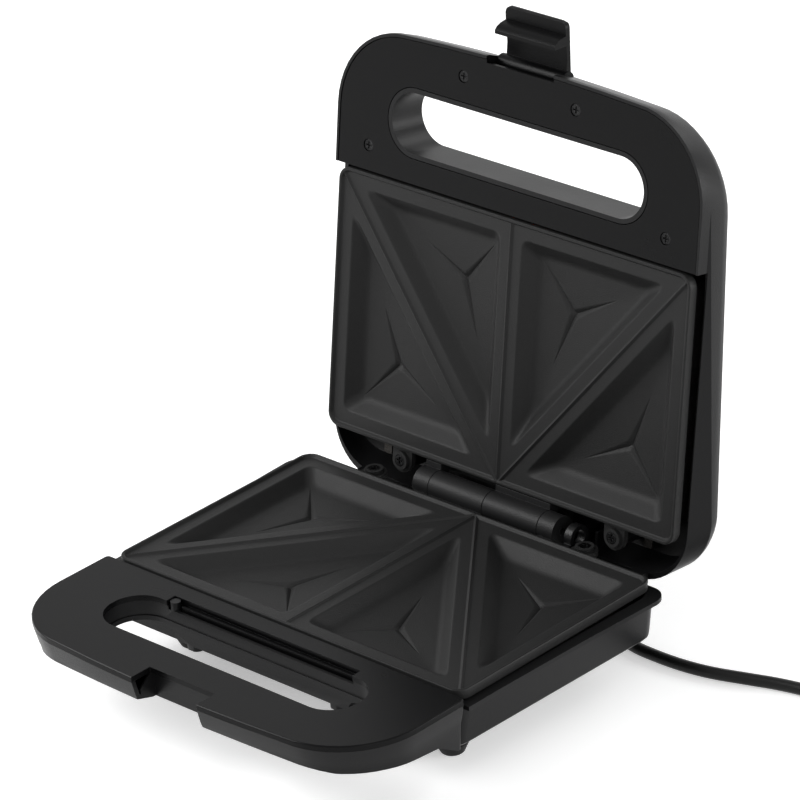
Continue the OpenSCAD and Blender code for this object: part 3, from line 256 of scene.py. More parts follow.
def cad_arrays(node: str) -> tuple[np.ndarray, np.ndarray]:
    """Points and triangles of a CAD node, with the points that meet merged into one.

    Args:
        node: Name of the node.

    Returns:
        The points in metres, and the triangles that keep three corners.
    """
    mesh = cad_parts[node].data
    co = np.empty(len(mesh.vertices) * 3, np.float32)
    mesh.vertices.foreach_get("co", co)
    mesh.calc_loop_triangles()
    tri = np.empty(len(mesh.loop_triangles) * 3, np.int32)
    mesh.loop_triangles.foreach_get("vertices", tri)
    keys = np.round(co.reshape(-1, 3) / MERGE_M).astype(np.int64)
    _, first, same = np.unique(keys, axis=0, return_index=True, return_inverse=True)
    tri = same.ravel()[tri].reshape(-1, 3)
    whole = (tri[:, 0] != tri[:, 1]) & (tri[:, 1] != tri[:, 2]) & (tri[:, 0] != tri[:, 2])
    return co.reshape(-1, 3)[first], tri[whole]


def dressed(piece: bpy.types.Object, finish: "Finish", body: Body,
            stands_for: tuple[str, ...] = ()) -> bpy.types.Object:
    """Gives a new piece its finish, its body and the nodes that it stands for.

    Args:
        piece: The new object.
        finish: What its surface is.
        body: The body that it rides on.
        stands_for: The CAD nodes that it replaces.

    Returns:
        The same object.
    """
    piece.data.materials.clear()
    piece.data.materials.append(finish.material())
    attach(piece, body.value)
    if stands_for:
        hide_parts(*stands_for)
    log.info("piece %s: %d faces", piece.name, len(piece.data.polygons))
    return piece


def whole_faces(work: bmesh.types.BMesh) -> None:
    """Dissolves flat triangles into whole faces."""
    bmesh.ops.dissolve_limit(work, angle_limit=FLAT_TURN, verts=work.verts[:], edges=work.edges[:])


def softened(node: str, name: str, edge: float, sharp: float) -> bpy.types.Object:
    """A merged copy of a CAD node whose sharp edges are rounded.

    Flat triangles are dissolved into whole faces, edges sharper than the limit get a small
    round of two steps, and the faces are shaded smooth up to the same limit.

    Args:
        node: The CAD node to copy.
        name: Name of the piece.
        edge: Width of the rounded edge in millimetres.
        sharp: Smallest angle between faces that counts as an edge, in degrees.

    Returns:
        The new object.
    """
    points, tri = cad_arrays(node)
    piece = mesh_object(name, points, [tri])
    work = bmesh.new()
    work.from_mesh(piece.data)
    whole_faces(work)
    for line in work.edges:
        line.smooth = line.is_manifold and line.calc_face_angle(0.0) < math.radians(sharp)
    work.to_mesh(piece.data)
    work.free()
    if edge > 0:
        rounding = piece.modifiers.new("rounded_edges", "BEVEL")
        rounding.width = edge * MM
        rounding.segments = 2
        rounding.limit_method = "ANGLE"
        rounding.angle_limit = math.radians(sharp)
        rounding.harden_normals = True
        rounding.miter_outer = "MITER_ARC"
    return piece


# ---------- shared effects ----------


class Wiring:
    """Places and joins nodes in one tree."""

    def __init__(self, tree: bpy.types.NodeTree) -> None:
        """Keeps the tree."""
        self.tree = tree

    def add(self, kind: str, **values: object) -> bpy.types.Node:
        """Adds a node; a value named like a property sets it, and any other sets or feeds a socket.

        Args:
            kind: The node's type without the word ShaderNode.
            values: Properties, socket values or sockets to join from, with _ for a space.

        Returns:
            The new node.
        """
        node = self.tree.nodes.new("ShaderNode" + kind)
        sockets = {}
        for key, value in values.items():
            if hasattr(node, key) and not isinstance(value, bpy.types.NodeSocket):
                setattr(node, key, value)
            else:
                sockets[key] = value
        for key, value in sockets.items():
            name = key.replace("_", " ")
            socket = node.inputs[int(name[1:])] if name[1:].isdigit() else node.inputs[name]
            if isinstance(value, bpy.types.NodeSocket):
                self.tree.links.new(value, socket)
            else:
                socket.default_value = value
        return node


def effect(name: str, inputs: dict[str, tuple[str, object]], outputs: dict[str, str]
           ) -> tuple[bpy.types.NodeTree, Wiring, bpy.types.Node, bpy.types.Node]:
    """An empty shader node group with named sockets.

    Args:
        name: Name of the group.
        inputs: For each input its kind and its starting value.
        outputs: For each output its kind.

    Returns:
        The group, its wiring, and its input and output nodes.
    """
    group = bpy.data.node_groups.new(name, "ShaderNodeTree")
    for key, (kind, start) in inputs.items():
        socket = group.interface.new_socket(key, in_out="INPUT", socket_type="NodeSocket" + kind)
        socket.default_value = start
    for key, kind in outputs.items():
        group.interface.new_socket(key, in_out="OUTPUT", socket_type="NodeSocket" + kind)
    return (group, Wiring(group), group.nodes.new("NodeGroupInput"),
            group.nodes.new("NodeGroupOutput"))


def grain_effect() -> bpy.types.NodeTree:
    """Moulded or sprayed grain.

    The height is fine noise less a share of the distance to the nearest grain's middle, and the
    roughness drifts with slow noise.

    Returns:
        The group, with Height and Roughness.
    """
    grain_share, drift_scale = -0.6, 26.0
    group, w, start, end = effect(
        "surface_grain",
        {"Scale": ("Float", 1500.0), "Roughness": ("Float", 0.4), "Drift": ("Float", 0.1)},
        {"Height": "Float", "Roughness": "Float"})
    here = w.add("TexCoord").outputs["Object"]
    fine = w.add("TexNoise", Vector=here, Scale=start.outputs["Scale"], Detail=3.0)
    slow = w.add("TexNoise", Vector=here, Scale=drift_scale, Detail=4.0)
    speck = w.add("TexVoronoi", Vector=here, Scale=start.outputs["Scale"])
    height = w.add("Math", operation="MULTIPLY_ADD", _0=speck.outputs["Distance"], _1=grain_share,
                   _2=fine.outputs["Fac"])
    off = w.add("Math", operation="SUBTRACT", _0=slow.outputs["Fac"], _1=0.5)
    rough = w.add("Math", operation="MULTIPLY_ADD", _0=off.outputs[0],
                  _1=start.outputs["Drift"], _2=start.outputs["Roughness"])
    w.tree.links.new(height.outputs[0], end.inputs["Height"])
    w.tree.links.new(rough.outputs[0], end.inputs["Roughness"])
    return group


def tone_and_highlight_effect() -> bpy.types.NodeTree:
    """Colour that drifts slowly over a piece, with edges a little paler as a painted highlight.

    The painted highlight's share is how far the surface sticks out, from nought to one between two
    limits, times fine noise and the highlight share.

    Returns:
        The group, with Colour.
    """
    tone_scale, highlight_noise_scale = 18.0, 420.0
    # Pointiness limits between which convex edges get the painted highlight.
    highlight_from, highlight_to = 0.52, 0.62
    group, w, start, end = effect(
        "tone_and_edge_highlight",
        {"Colour": ("Color", (0.02, 0.02, 0.02, 1)), "Edge Highlight": ("Color", (0.05, 0.05, 0.05, 1)),
         "Drift": ("Float", 0.15), "Highlight Share": ("Float", 0.5)},
        {"Colour": "Color"})
    here = w.add("TexCoord").outputs["Object"]
    slow = w.add("TexNoise", Vector=here, Scale=tone_scale, Detail=5.0, Roughness=0.6)
    off = w.add("Math", operation="SUBTRACT", _0=slow.outputs["Fac"], _1=0.5)
    gain = w.add("Math", operation="MULTIPLY_ADD", _0=off.outputs[0],
                 _1=start.outputs["Drift"], _2=1.0)
    toned = w.add("VectorMath", operation="SCALE", _0=start.outputs["Colour"],
                  Scale=gain.outputs[0])
    # Painted highlight: convex edges, found by pointiness and broken by fine noise, are lightened
    # in place of the glints of light along them.
    edge = w.add("NewGeometry").outputs["Pointiness"]
    rim = w.add("MapRange", Value=edge, From_Min=highlight_from, From_Max=highlight_to)
    highlight_noise = w.add("TexNoise", Vector=here, Scale=highlight_noise_scale, Detail=4.0)
    noisy_highlight = w.add("Math", operation="MULTIPLY", _0=rim.outputs[0], _1=highlight_noise.outputs["Fac"])
    highlight_mask = w.add("Math", operation="MULTIPLY", _0=noisy_highlight.outputs[0], _1=start.outputs["Highlight Share"])
    mixed = w.add("Mix", data_type="RGBA", Factor=highlight_mask.outputs[0])
    w.tree.links.new(toned.outputs[0], mixed.inputs[6])
    w.tree.links.new(start.outputs["Edge Highlight"], mixed.inputs[7])
    w.tree.links.new(mixed.outputs[2], end.inputs["Colour"])
    return group


EFFECTS: dict[str, bpy.types.NodeTree] = {}


def placed(w: Wiring, name: str) -> bpy.types.Node:
    """Places a shared effect in a material, and builds it the first time.

    Args:
        w: The material's wiring.
        name: Name of the effect.

    Returns:
        The node that holds the effect.
    """
    makers = {"surface_grain": grain_effect, "tone_and_edge_highlight": tone_and_highlight_effect}
    if name not in EFFECTS:
        EFFECTS[name] = makers[name]()
    node = w.tree.nodes.new("ShaderNodeGroup")
    node.node_tree = EFFECTS[name]
    return node


@dataclass(frozen=True)
class Finish:
    """A surface: its colour, its edges' painted highlight, its grain and its gloss."""

    name: str
    colour: Colour
    # Painted highlight: the colour that convex edges are lightened towards, and how far.
    edge_highlight_colour: Colour = (0.05, 0.05, 0.05)
    drift: float = 0.2
    edge_highlight_share: float = 0.4
    roughness: float = 0.4
    rough_drift: float = 0.1
    grain_scale: float = 1600.0
    grain_depth: float = 0.4
    metallic: float = 0.0
    specular: float = 0.5
    clear: float = 0.0

    def material(self) -> bpy.types.Material:
        """The finish as a material, built once.

        The bump's reach is the grain's depth over its scale, so that a coarse grain is a deep one.

        Returns:
            The material.
        """
        made = bpy.data.materials.get(self.name)
        if made:
            return made
        made = bpy.data.materials.new(self.name)
        made.use_nodes = True
        w = Wiring(made.node_tree)
        shader = made.node_tree.nodes["Principled BSDF"]
        tone, grain = placed(w, "tone_and_edge_highlight"), placed(w, "surface_grain")
        tone.inputs["Colour"].default_value = (*self.colour, 1)
        # Painted highlight on the convex edges: its colour and its share.
        tone.inputs["Edge Highlight"].default_value = (*self.edge_highlight_colour, 1)
        tone.inputs["Drift"].default_value = self.drift
        tone.inputs["Highlight Share"].default_value = self.edge_highlight_share
        grain.inputs["Scale"].default_value = self.grain_scale
        grain.inputs["Roughness"].default_value = self.roughness
        grain.inputs["Drift"].default_value = self.rough_drift
        bump = w.add("Bump", Distance=self.grain_depth / self.grain_scale, Strength=1.0,
                     Height=grain.outputs["Height"])
        made.node_tree.links.new(tone.outputs["Colour"], shader.inputs["Base Color"])
        made.node_tree.links.new(grain.outputs["Roughness"], shader.inputs["Roughness"])
        made.node_tree.links.new(bump.outputs["Normal"], shader.inputs["Normal"])
        shader.inputs["Metallic"].default_value = self.metallic
        shader.inputs["Specular IOR Level"].default_value = self.specular
        shader.inputs["Transmission Weight"].default_value = self.clear
        return made


# The second colour of each finish is its painted highlight colour for convex edges.
BODY_PLASTIC = Finish("black_moulded_plastic", (0.0045, 0.0045, 0.0048), (0.016, 0.016, 0.0165),
                      roughness=0.33, specular=0.16, grain_depth=0.10, edge_highlight_share=0.25)
PANEL_PLASTIC = Finish("black_panel_plastic", (0.0025, 0.0025, 0.0027), (0.012, 0.012, 0.0125),
                       roughness=0.26, specular=0.09, grain_depth=0.07, edge_highlight_share=0.25)
COATING = Finish("non_stick_coating", (0.016, 0.016, 0.016), (0.036, 0.036, 0.036),
                 roughness=0.45, specular=0.16, grain_scale=2600.0, grain_depth=0.28)
HINGE_PAINT = Finish("hinge_black_paint", (0.009, 0.009, 0.0093), (0.03, 0.03, 0.03),
                     roughness=0.4, specular=0.14, grain_depth=0.12)
LATCH_PLASTIC = Finish("latch_plastic", (0.002, 0.002, 0.0022), (0.012, 0.012, 0.0125),
                       roughness=0.3, specular=0.08, grain_depth=0.10, edge_highlight_share=0.25)
BLACKED_STEEL = Finish("blacked_screw_steel", (0.012, 0.012, 0.0125), (0.10, 0.10, 0.10),
                       metallic=1.0, roughness=0.34, edge_highlight_share=0.8)
BRIGHT_STEEL = Finish("bright_steel", (0.55, 0.55, 0.54), (0.75, 0.75, 0.75), metallic=1.0,
                      roughness=0.3)
ROD_STEEL = Finish("rod_steel", (0.03, 0.028, 0.026), (0.16, 0.15, 0.14), metallic=1.0,
                   roughness=0.45, drift=0.5)
# Painted shade: the reflector sheet is dark grey instead of bright sheet metal, standing in for the
# shade it lies in.
SHEET_STEEL = Finish("reflector_sheet", (0.14, 0.135, 0.13), (0.3, 0.3, 0.3), metallic=1.0,
                     roughness=0.36)
CERAMIC = Finish("white_ceramic", (0.74, 0.72, 0.67), (0.8, 0.8, 0.78), roughness=0.55)
FOOT_RUBBER = Finish("foot_rubber", (0.007, 0.007, 0.007), roughness=0.6, specular=0.2)
CORD_RUBBER = Finish("cord_jacket", (0.004, 0.004, 0.004), roughness=0.34, specular=0.2,
                     grain_depth=0.15)
PLUG_PLASTIC = Finish("plug_plastic", (0.005, 0.005, 0.005), roughness=0.36, specular=0.2)
CONTACT_METAL = Finish("plated_brass", (0.72, 0.68, 0.60), metallic=1.0, roughness=0.2)
RED_LENS = Finish("red_lens", (0.55, 0.02, 0.015), roughness=0.12, clear=0.5, grain_depth=0.0)
NEON_GLASS = Finish("neon_glass", (0.85, 0.45, 0.25), roughness=0.1, clear=0.6,
                    grain_depth=0.0)


# ---------- camera, floor and light ----------


@dataclass(frozen=True)
class Viewpoint:
    """The camera: angles in degrees, slide, distance, lens and sensor in millimetres."""

    azimuth: float = 45.40
    elevation: float = 26.32
    roll: float = -4.58
    slide_x: float = -51.39
    slide_y: float = -97.07
    distance: float = 2320.85
    lens: float = 238.8
    sensor: float = 36.0
    clip: tuple[float, float] = (0.05, 30.0)

    def build(self) -> None:
        """Makes the scene's camera.

        Azimuth and elevation give the way back from the part, right and up lie across it and are
        turned by the roll, and the eye lies back by the distance and aside by the slide.
        """
        az, el, ro = map(math.radians, (self.azimuth, self.elevation, self.roll))
        back = np.array([math.sin(az) * math.cos(el), -math.cos(az) * math.cos(el),
                         math.sin(el)])
        right = np.cross([0.0, 0.0, 1.0], back)
        right /= np.linalg.norm(right)
        up = np.cross(back, right)
        right, up = (math.cos(ro) * right + math.sin(ro) * up,
                     -math.sin(ro) * right + math.cos(ro) * up)
        turn = np.stack([right, up, back])
        eye = PLACE.base(-turn.T @ np.array([self.slide_x, self.slide_y, -self.distance]))
        data = bpy.data.cameras.new("camera")
        data.sensor_width, data.lens = self.sensor, self.lens
        data.clip_start, data.clip_end = self.clip
        camera = bpy.data.objects.new("camera", data)
        matrix = Matrix.Identity(4)
        for column, axis in enumerate((right, up, back)):
            for row in range(3):
                matrix[row][column] = axis[row]
        matrix.translation = Vector(eye)
        camera.matrix_world = matrix
        bpy.context.scene.collection.objects.link(camera)
        bpy.context.scene.camera = camera


@dataclass(frozen=True)
class SoftBox:
    """A rectangular lamp of soft light: place, width and height in metres, power in watts."""

    name: str
    place: Point
    width: float
    height: float
    power: float
    target: Point = (0.0, 0.0, 0.1)

    def build(self) -> None:
        """Makes the lamp, turned towards the middle of the part."""
        data = bpy.data.lights.new(self.name, "AREA")
        data.shape, data.size, data.size_y = "RECTANGLE", self.width, self.height
        data.energy = self.power
        lamp = bpy.data.objects.new(self.name, data)
        lamp.location = self.place
        towards = Vector(self.target) - Vector(self.place)
        lamp.rotation_euler = towards.to_track_quat("-Z", "Y").to_euler()
        bpy.context.scene.collection.objects.link(lamp)


@dataclass(frozen=True)
class Studio:
    """A pale floor, white surroundings and four soft lamps."""

    floor_radius: float = 6.0
    inner_radius: float = 1.0
    floor_steps: int = 96
    floor_colour: Colour = (0.9, 0.9, 0.9)
    floor_roughness: float = 0.9
    floor_lift: float = 0.42
    surround: float = 0.55
    lamps: tuple[SoftBox, ...] = (
        SoftBox("key_light", (-1.7, -1.2, 1.5), 1.2, 1.2, 44.0),
        SoftBox("fill_light", (2.2, -0.9, 1.0), 1.2, 1.2, 12.0),
        SoftBox("side_light", (1.9, 1.3, 0.45), 1.3, 0.7, 26.0),
        SoftBox("back_light", (0.4, 2.2, 1.7), 1.4, 1.4, 16.0),
    )

    def _seen(self, w: Wiring) -> bpy.types.NodeSocket:
        """One for what the camera, a mirror or glass sees, and nought for other light.

        Args:
            w: The wiring of the floor's paint or of the world.

        Returns:
            The socket that holds the one or the nought.
        """
        path = w.add("LightPath")
        a = w.add("Math", operation="MAXIMUM", _0=path.outputs["Is Camera Ray"],
                  _1=path.outputs["Is Glossy Ray"])
        return w.add("Math", operation="MAXIMUM", _0=a.outputs[0],
                     _1=path.outputs["Is Transmission Ray"]).outputs[0]

    def _floor(self) -> None:
        """Makes the floor: a disc of two rings, pale, and lifted to white for what looks at it."""
        turn = np.arange(self.floor_steps) * 2 * math.pi / self.floor_steps
        rings = np.stack([np.stack([r * np.cos(turn), r * np.sin(turn), 0 * turn], axis=-1)
                          for r in (self.inner_radius, self.floor_radius)])
        between, inside, _ = ring_faces(2, self.floor_steps)
        floor = mesh_object("floor", rings.reshape(-1, 3), [between[:, ::-1], inside[:, ::-1]])
        paint = bpy.data.materials.new("floor_paint")
        paint.use_nodes = True
        w = Wiring(paint.node_tree)
        shader = paint.node_tree.nodes["Principled BSDF"]
        shader.inputs["Base Color"].default_value = (*self.floor_colour, 1)
        shader.inputs["Roughness"].default_value = self.floor_roughness
        shader.inputs["Emission Color"].default_value = (1, 1, 1, 1)
        lift = w.add("Math", operation="MULTIPLY", _0=self._seen(w), _1=self.floor_lift)
        paint.node_tree.links.new(lift.outputs[0], shader.inputs["Emission Strength"])
        floor.data.materials.append(paint)

    def _surroundings(self) -> None:
        """Makes the world: white to what looks at it, and weaker as a source of light."""
        world = bpy.context.scene.world or bpy.data.worlds.new("studio")
        bpy.context.scene.world = world
        world.use_nodes = True
        world.node_tree.nodes.clear()
        w = Wiring(world.node_tree)
        strength = w.add("MapRange", Value=self._seen(w), To_Min=self.surround, To_Max=1.0)
        light = w.add("Background", Color=(1, 1, 1, 1), Strength=strength.outputs[0])
        out = w.add("OutputWorld")
        world.node_tree.links.new(light.outputs[0], out.inputs["Surface"])

    def build(self) -> None:
        """Makes the floor, the world and the lamps, and shows colours as they are written."""
        bpy.context.scene.view_settings.view_transform = "Standard"
        self._floor()
        self._surroundings()
        for lamp in self.lamps:
            lamp.build()


# ---------- cord ----------


@dataclass(frozen=True)
class StrainRelief:
    """The tapered boot where the cord leaves the base: a flange, a groove and soft ribs."""

    at: Point = (-30.0, 115.0, -32.7)
    length: float = 25.0
    root_r: float = 5.0
    end_r: float = 3.6
    flange: Profile = ((0.0, -7.0), (4.4, -7.0), (5.0, -6.9), (5.0, -5.1), (4.4, -5.0), (4.4, -0.1))
    mouth: Profile = ((3.0, 25.3), (0.0, 25.3))
    ribs_from: float = 3.0
    ribs_to: float = 23.5
    rib_pitch: float = 2.3
    rib_depth: float = 0.42
    rib_steepness: float = 1.6
    rings: int = 120
    sides: int = 40

    def build(self) -> bpy.types.Object:
        """Builds the boot: its radius falls evenly, less the lower half of a clipped sine wave.

        Returns:
            The boot.
        """
        along = np.linspace(0.0, self.length, self.rings)
        taper = self.root_r + (self.end_r - self.root_r) * along / self.length
        wave = np.sin(along * 2 * math.pi / self.rib_pitch) * self.rib_steepness
        ribs = np.where((along > self.ribs_from) & (along < self.ribs_to),
                        self.rib_depth * np.clip(wave, -1, 1), 0.0)
        body = zip(taper + np.minimum(ribs, 0.0), along)
        points, faces = lathe((*self.flange, *body, *self.mouth), self.at, self.sides)
        piece = mesh_object("strain_relief_boot", PLACE.base(points), faces)
        return dressed(piece, CORD_RUBBER, Body.BASE, ("strain_relief",))


@dataclass(frozen=True)
class Plug:
    """The moulded plug: a turned body with a ringed neck and a waisted grip, and two sleeved pins.

    Heights in the profiles run from the plug's place towards its face.
    """

    at: Point = (239.0, 228.0, -29.0)
    radius: float = 17.0
    length: float = 38.0
    mouth: Profile = ((0.0, -1.0), (3.9, -1.0), (4.2, 0.0))
    neck_r: float = 4.4
    neck_growth: float = 0.05
    neck_rings: int = 12
    ring_pitch: float = 1.0
    ring_depth: float = 0.5
    shoulder: Profile = ((6.0, 13.5), (9.5, 15.5), (12.5, 18.0))
    grip_r: float = 14.2
    grip_flare: float = 2.3
    grip_waist: float = 0.9
    grip_start: float = 20.0
    grip_length: float = 15.5
    grip_steps: int = 25
    face_round: Profile = ((0.3, 1.6), (0.8, 0.6), (1.8, 0.0))
    pin_offset: float = 9.5
    sleeve: Profile = ((0.0, 0.0), (2.35, 0.0), (2.35, 10.0), (2.0, 10.2), (0.0, 10.2))
    tip: Profile = ((0.0, 10.2), (2.2, 10.2), (2.4, 10.5), (2.4, 17.2), (2.1, 18.2), (1.4, 18.9),
                    (0.0, 19.0))
    sides: int = 64
    pin_sides: int = 28

    def _body(self) -> bpy.types.Object:
        """Builds the body.

        Every second ring of the neck lies deeper. The grip's radius grows with a power of the way
        along it, less half a sine wave for the waist.

        Returns:
            The body.
        """
        neck = [(self.neck_r + self.neck_growth * i - (self.ring_depth if i % 2 else 0.0),
                 self.ring_pitch * (1 + i)) for i in range(self.neck_rings)]
        t = np.linspace(0.0, 1.0, self.grip_steps)
        grip = zip(self.grip_r + self.grip_flare * t ** 1.5 - self.grip_waist * np.sin(t * math.pi),
                   self.grip_start + self.grip_length * t)
        face = [(self.radius - inward, self.length - back) for inward, back in self.face_round]
        profile = (*self.mouth, *neck, *self.shoulder, *grip, *face, (0.0, self.length))
        points, faces = lathe(profile, self.at, self.sides)
        piece = mesh_object("plug_moulding", PLACE.base(points), faces)
        return dressed(piece, PLUG_PLASTIC, Body.BASE, ("plug_body",))

    def _pins(self, name: str, profile: Profile) -> bpy.types.Object:
        """Builds the same turned part on both pins.

        Args:
            name: Name of the piece.
            profile: Radius and height pairs from the plug's face outwards.

        Returns:
            The piece, without a finish.
        """
        x, y, z = self.at
        points, faces = joined([
            lathe(profile, (x + side * self.pin_offset, y + self.length, z), self.pin_sides)
            for side in (-1, 1)])
        return mesh_object(name, PLACE.base(points), faces)

    def build(self) -> list[bpy.types.Object]:
        """Builds the body, the sleeves and the tips.

        Returns:
            The three pieces.
        """
        return [
            self._body(),
            dressed(self._pins("plug_pin_sleeves", self.sleeve), PLUG_PLASTIC, Body.BASE),
            dressed(self._pins("plug_pin_tips", self.tip), CONTACT_METAL, Body.BASE,
                    ("plug_pins",))]


@dataclass(frozen=True)
class CordRun:
    """The mains cord, from the strain relief round to its spare coil and its plug.

    The line is one smooth curve: the loose stretch along the table, a coil whose turns climb
    one diameter each time round, and a short tail to the plug.
    """

    diameter: float = 5.6
    table_z: float = -43.2
    coil_x: float = 205.0
    coil_y: float = 178.0
    coil_r: float = 31.0
    coil_rounds: float = 2.25
    coil_gap: float = 0.05
    coil_steps: int = 24
    knot_steps: int = 5
    sides: int = 20
    loose: tuple[Point, ...] = (
        (-30, 134, -32.7), (-30, 140, -32.7), (-30, 149, -34.7), (-27, 159, -38.2),
        (-21, 168, -42.2), (-12, 175, -43.2), (0, 178, -43.2), (13, 177, -43.2),
        (26, 171, -43.2), (38, 162, -43.2), (49, 152, -43.2), (60, 143, -43.2),
        (72, 136, -43.2), (86, 131.5, -43.2), (100, 130.5, -43.2), (115, 131, -43.2),
        (130, 133.5, -43.2), (146, 138.5, -43.2), (160, 143, -43.2), (174, 146, -43.2),
        (189, 147, -43.2))
    tail: tuple[Point, ...] = (
        (237, 188, -31.6), (238, 198, -31.5), (239, 208, -30.4), (239, 218, -29.3),
        (239, 230, -29))

    def line(self) -> np.ndarray:
        """The cord's middle line.

        The coil's angle runs counter-clockwise from its front point, and its height grows by
        a diameter and the gap each time round.

        Returns:
            Points in metres, one row each.
        """
        turn = np.linspace(0.0, self.coil_rounds * 2 * math.pi,
                           int(self.coil_steps * self.coil_rounds) + 1)
        coil = np.stack([
            self.coil_x + self.coil_r * np.sin(turn),
            self.coil_y - self.coil_r * np.cos(turn),
            self.table_z + (self.diameter + self.coil_gap) * turn / (2 * math.pi)], axis=-1)
        knots = np.vstack([self.loose, coil, self.tail])
        return PLACE.base(through(knots, self.knot_steps))

    def build(self) -> None:
        line = self.line()
        points, faces = tube(line, self.diameter / 2 * MM, self.sides)
        cord = mesh_object("mains_lead", points, faces)
        dressed(cord, CORD_RUBBER, Body.BASE, ("mains_cord", "cord_coil", "plug_lead"))
        on_it = Plug().build()
        StrainRelief().build()


# ---------- cooking plates ----------


def soft_least(*distances: np.ndarray, reach: float) -> np.ndarray:
    """The least of several distances, rounded off where two of them differ by less than reach.

    Between two, the share of the nearer one runs evenly from nought to one over twice the reach,
    and reach times share times the rest of the share is taken off.

    Args:
        distances: The distances, as arrays of one shape.
        reach: How far the rounding reaches.

    Returns:
        The rounded least, never above the true one.
    """
    least = distances[0]
    for other in distances[1:]:
        near = np.clip(0.5 + 0.5 * (other - least) / reach, 0.0, 1.0)
        least = other + (least - other) * near - reach * near * (1.0 - near)
    return least


def smooth_step(value: np.ndarray) -> np.ndarray:
    """Nought below 0, one above 1, and three squares less two cubes between."""
    t = np.clip(value, 0.0, 1.0)
    return t * t * (3.0 - 2.0 * t)


def crowded(share: np.ndarray, pull: float = 0.7) -> np.ndarray:
    """Shares from nought to one, moved towards both ends: less a part of a whole sine wave."""
    return share - pull * np.sin(2 * math.pi * share) / (2 * math.pi)


def plan_keys(points: np.ndarray) -> np.ndarray:
    """Whole numbers that are the same for plan points in the same place."""
    return np.round(points * PLAN_KEYS_PER_MM).astype(np.int64)


def rows_of(points: np.ndarray, among: np.ndarray) -> np.ndarray:
    """Finds plan points in a list, by their place.

    Args:
        points: The points to find.
        among: The list.

    Returns:
        Their row numbers in the list.
    """
    order = {tuple(key): row for row, key in enumerate(plan_keys(among).tolist())}
    return np.array([order[tuple(key)] for key in plan_keys(points).tolist()])


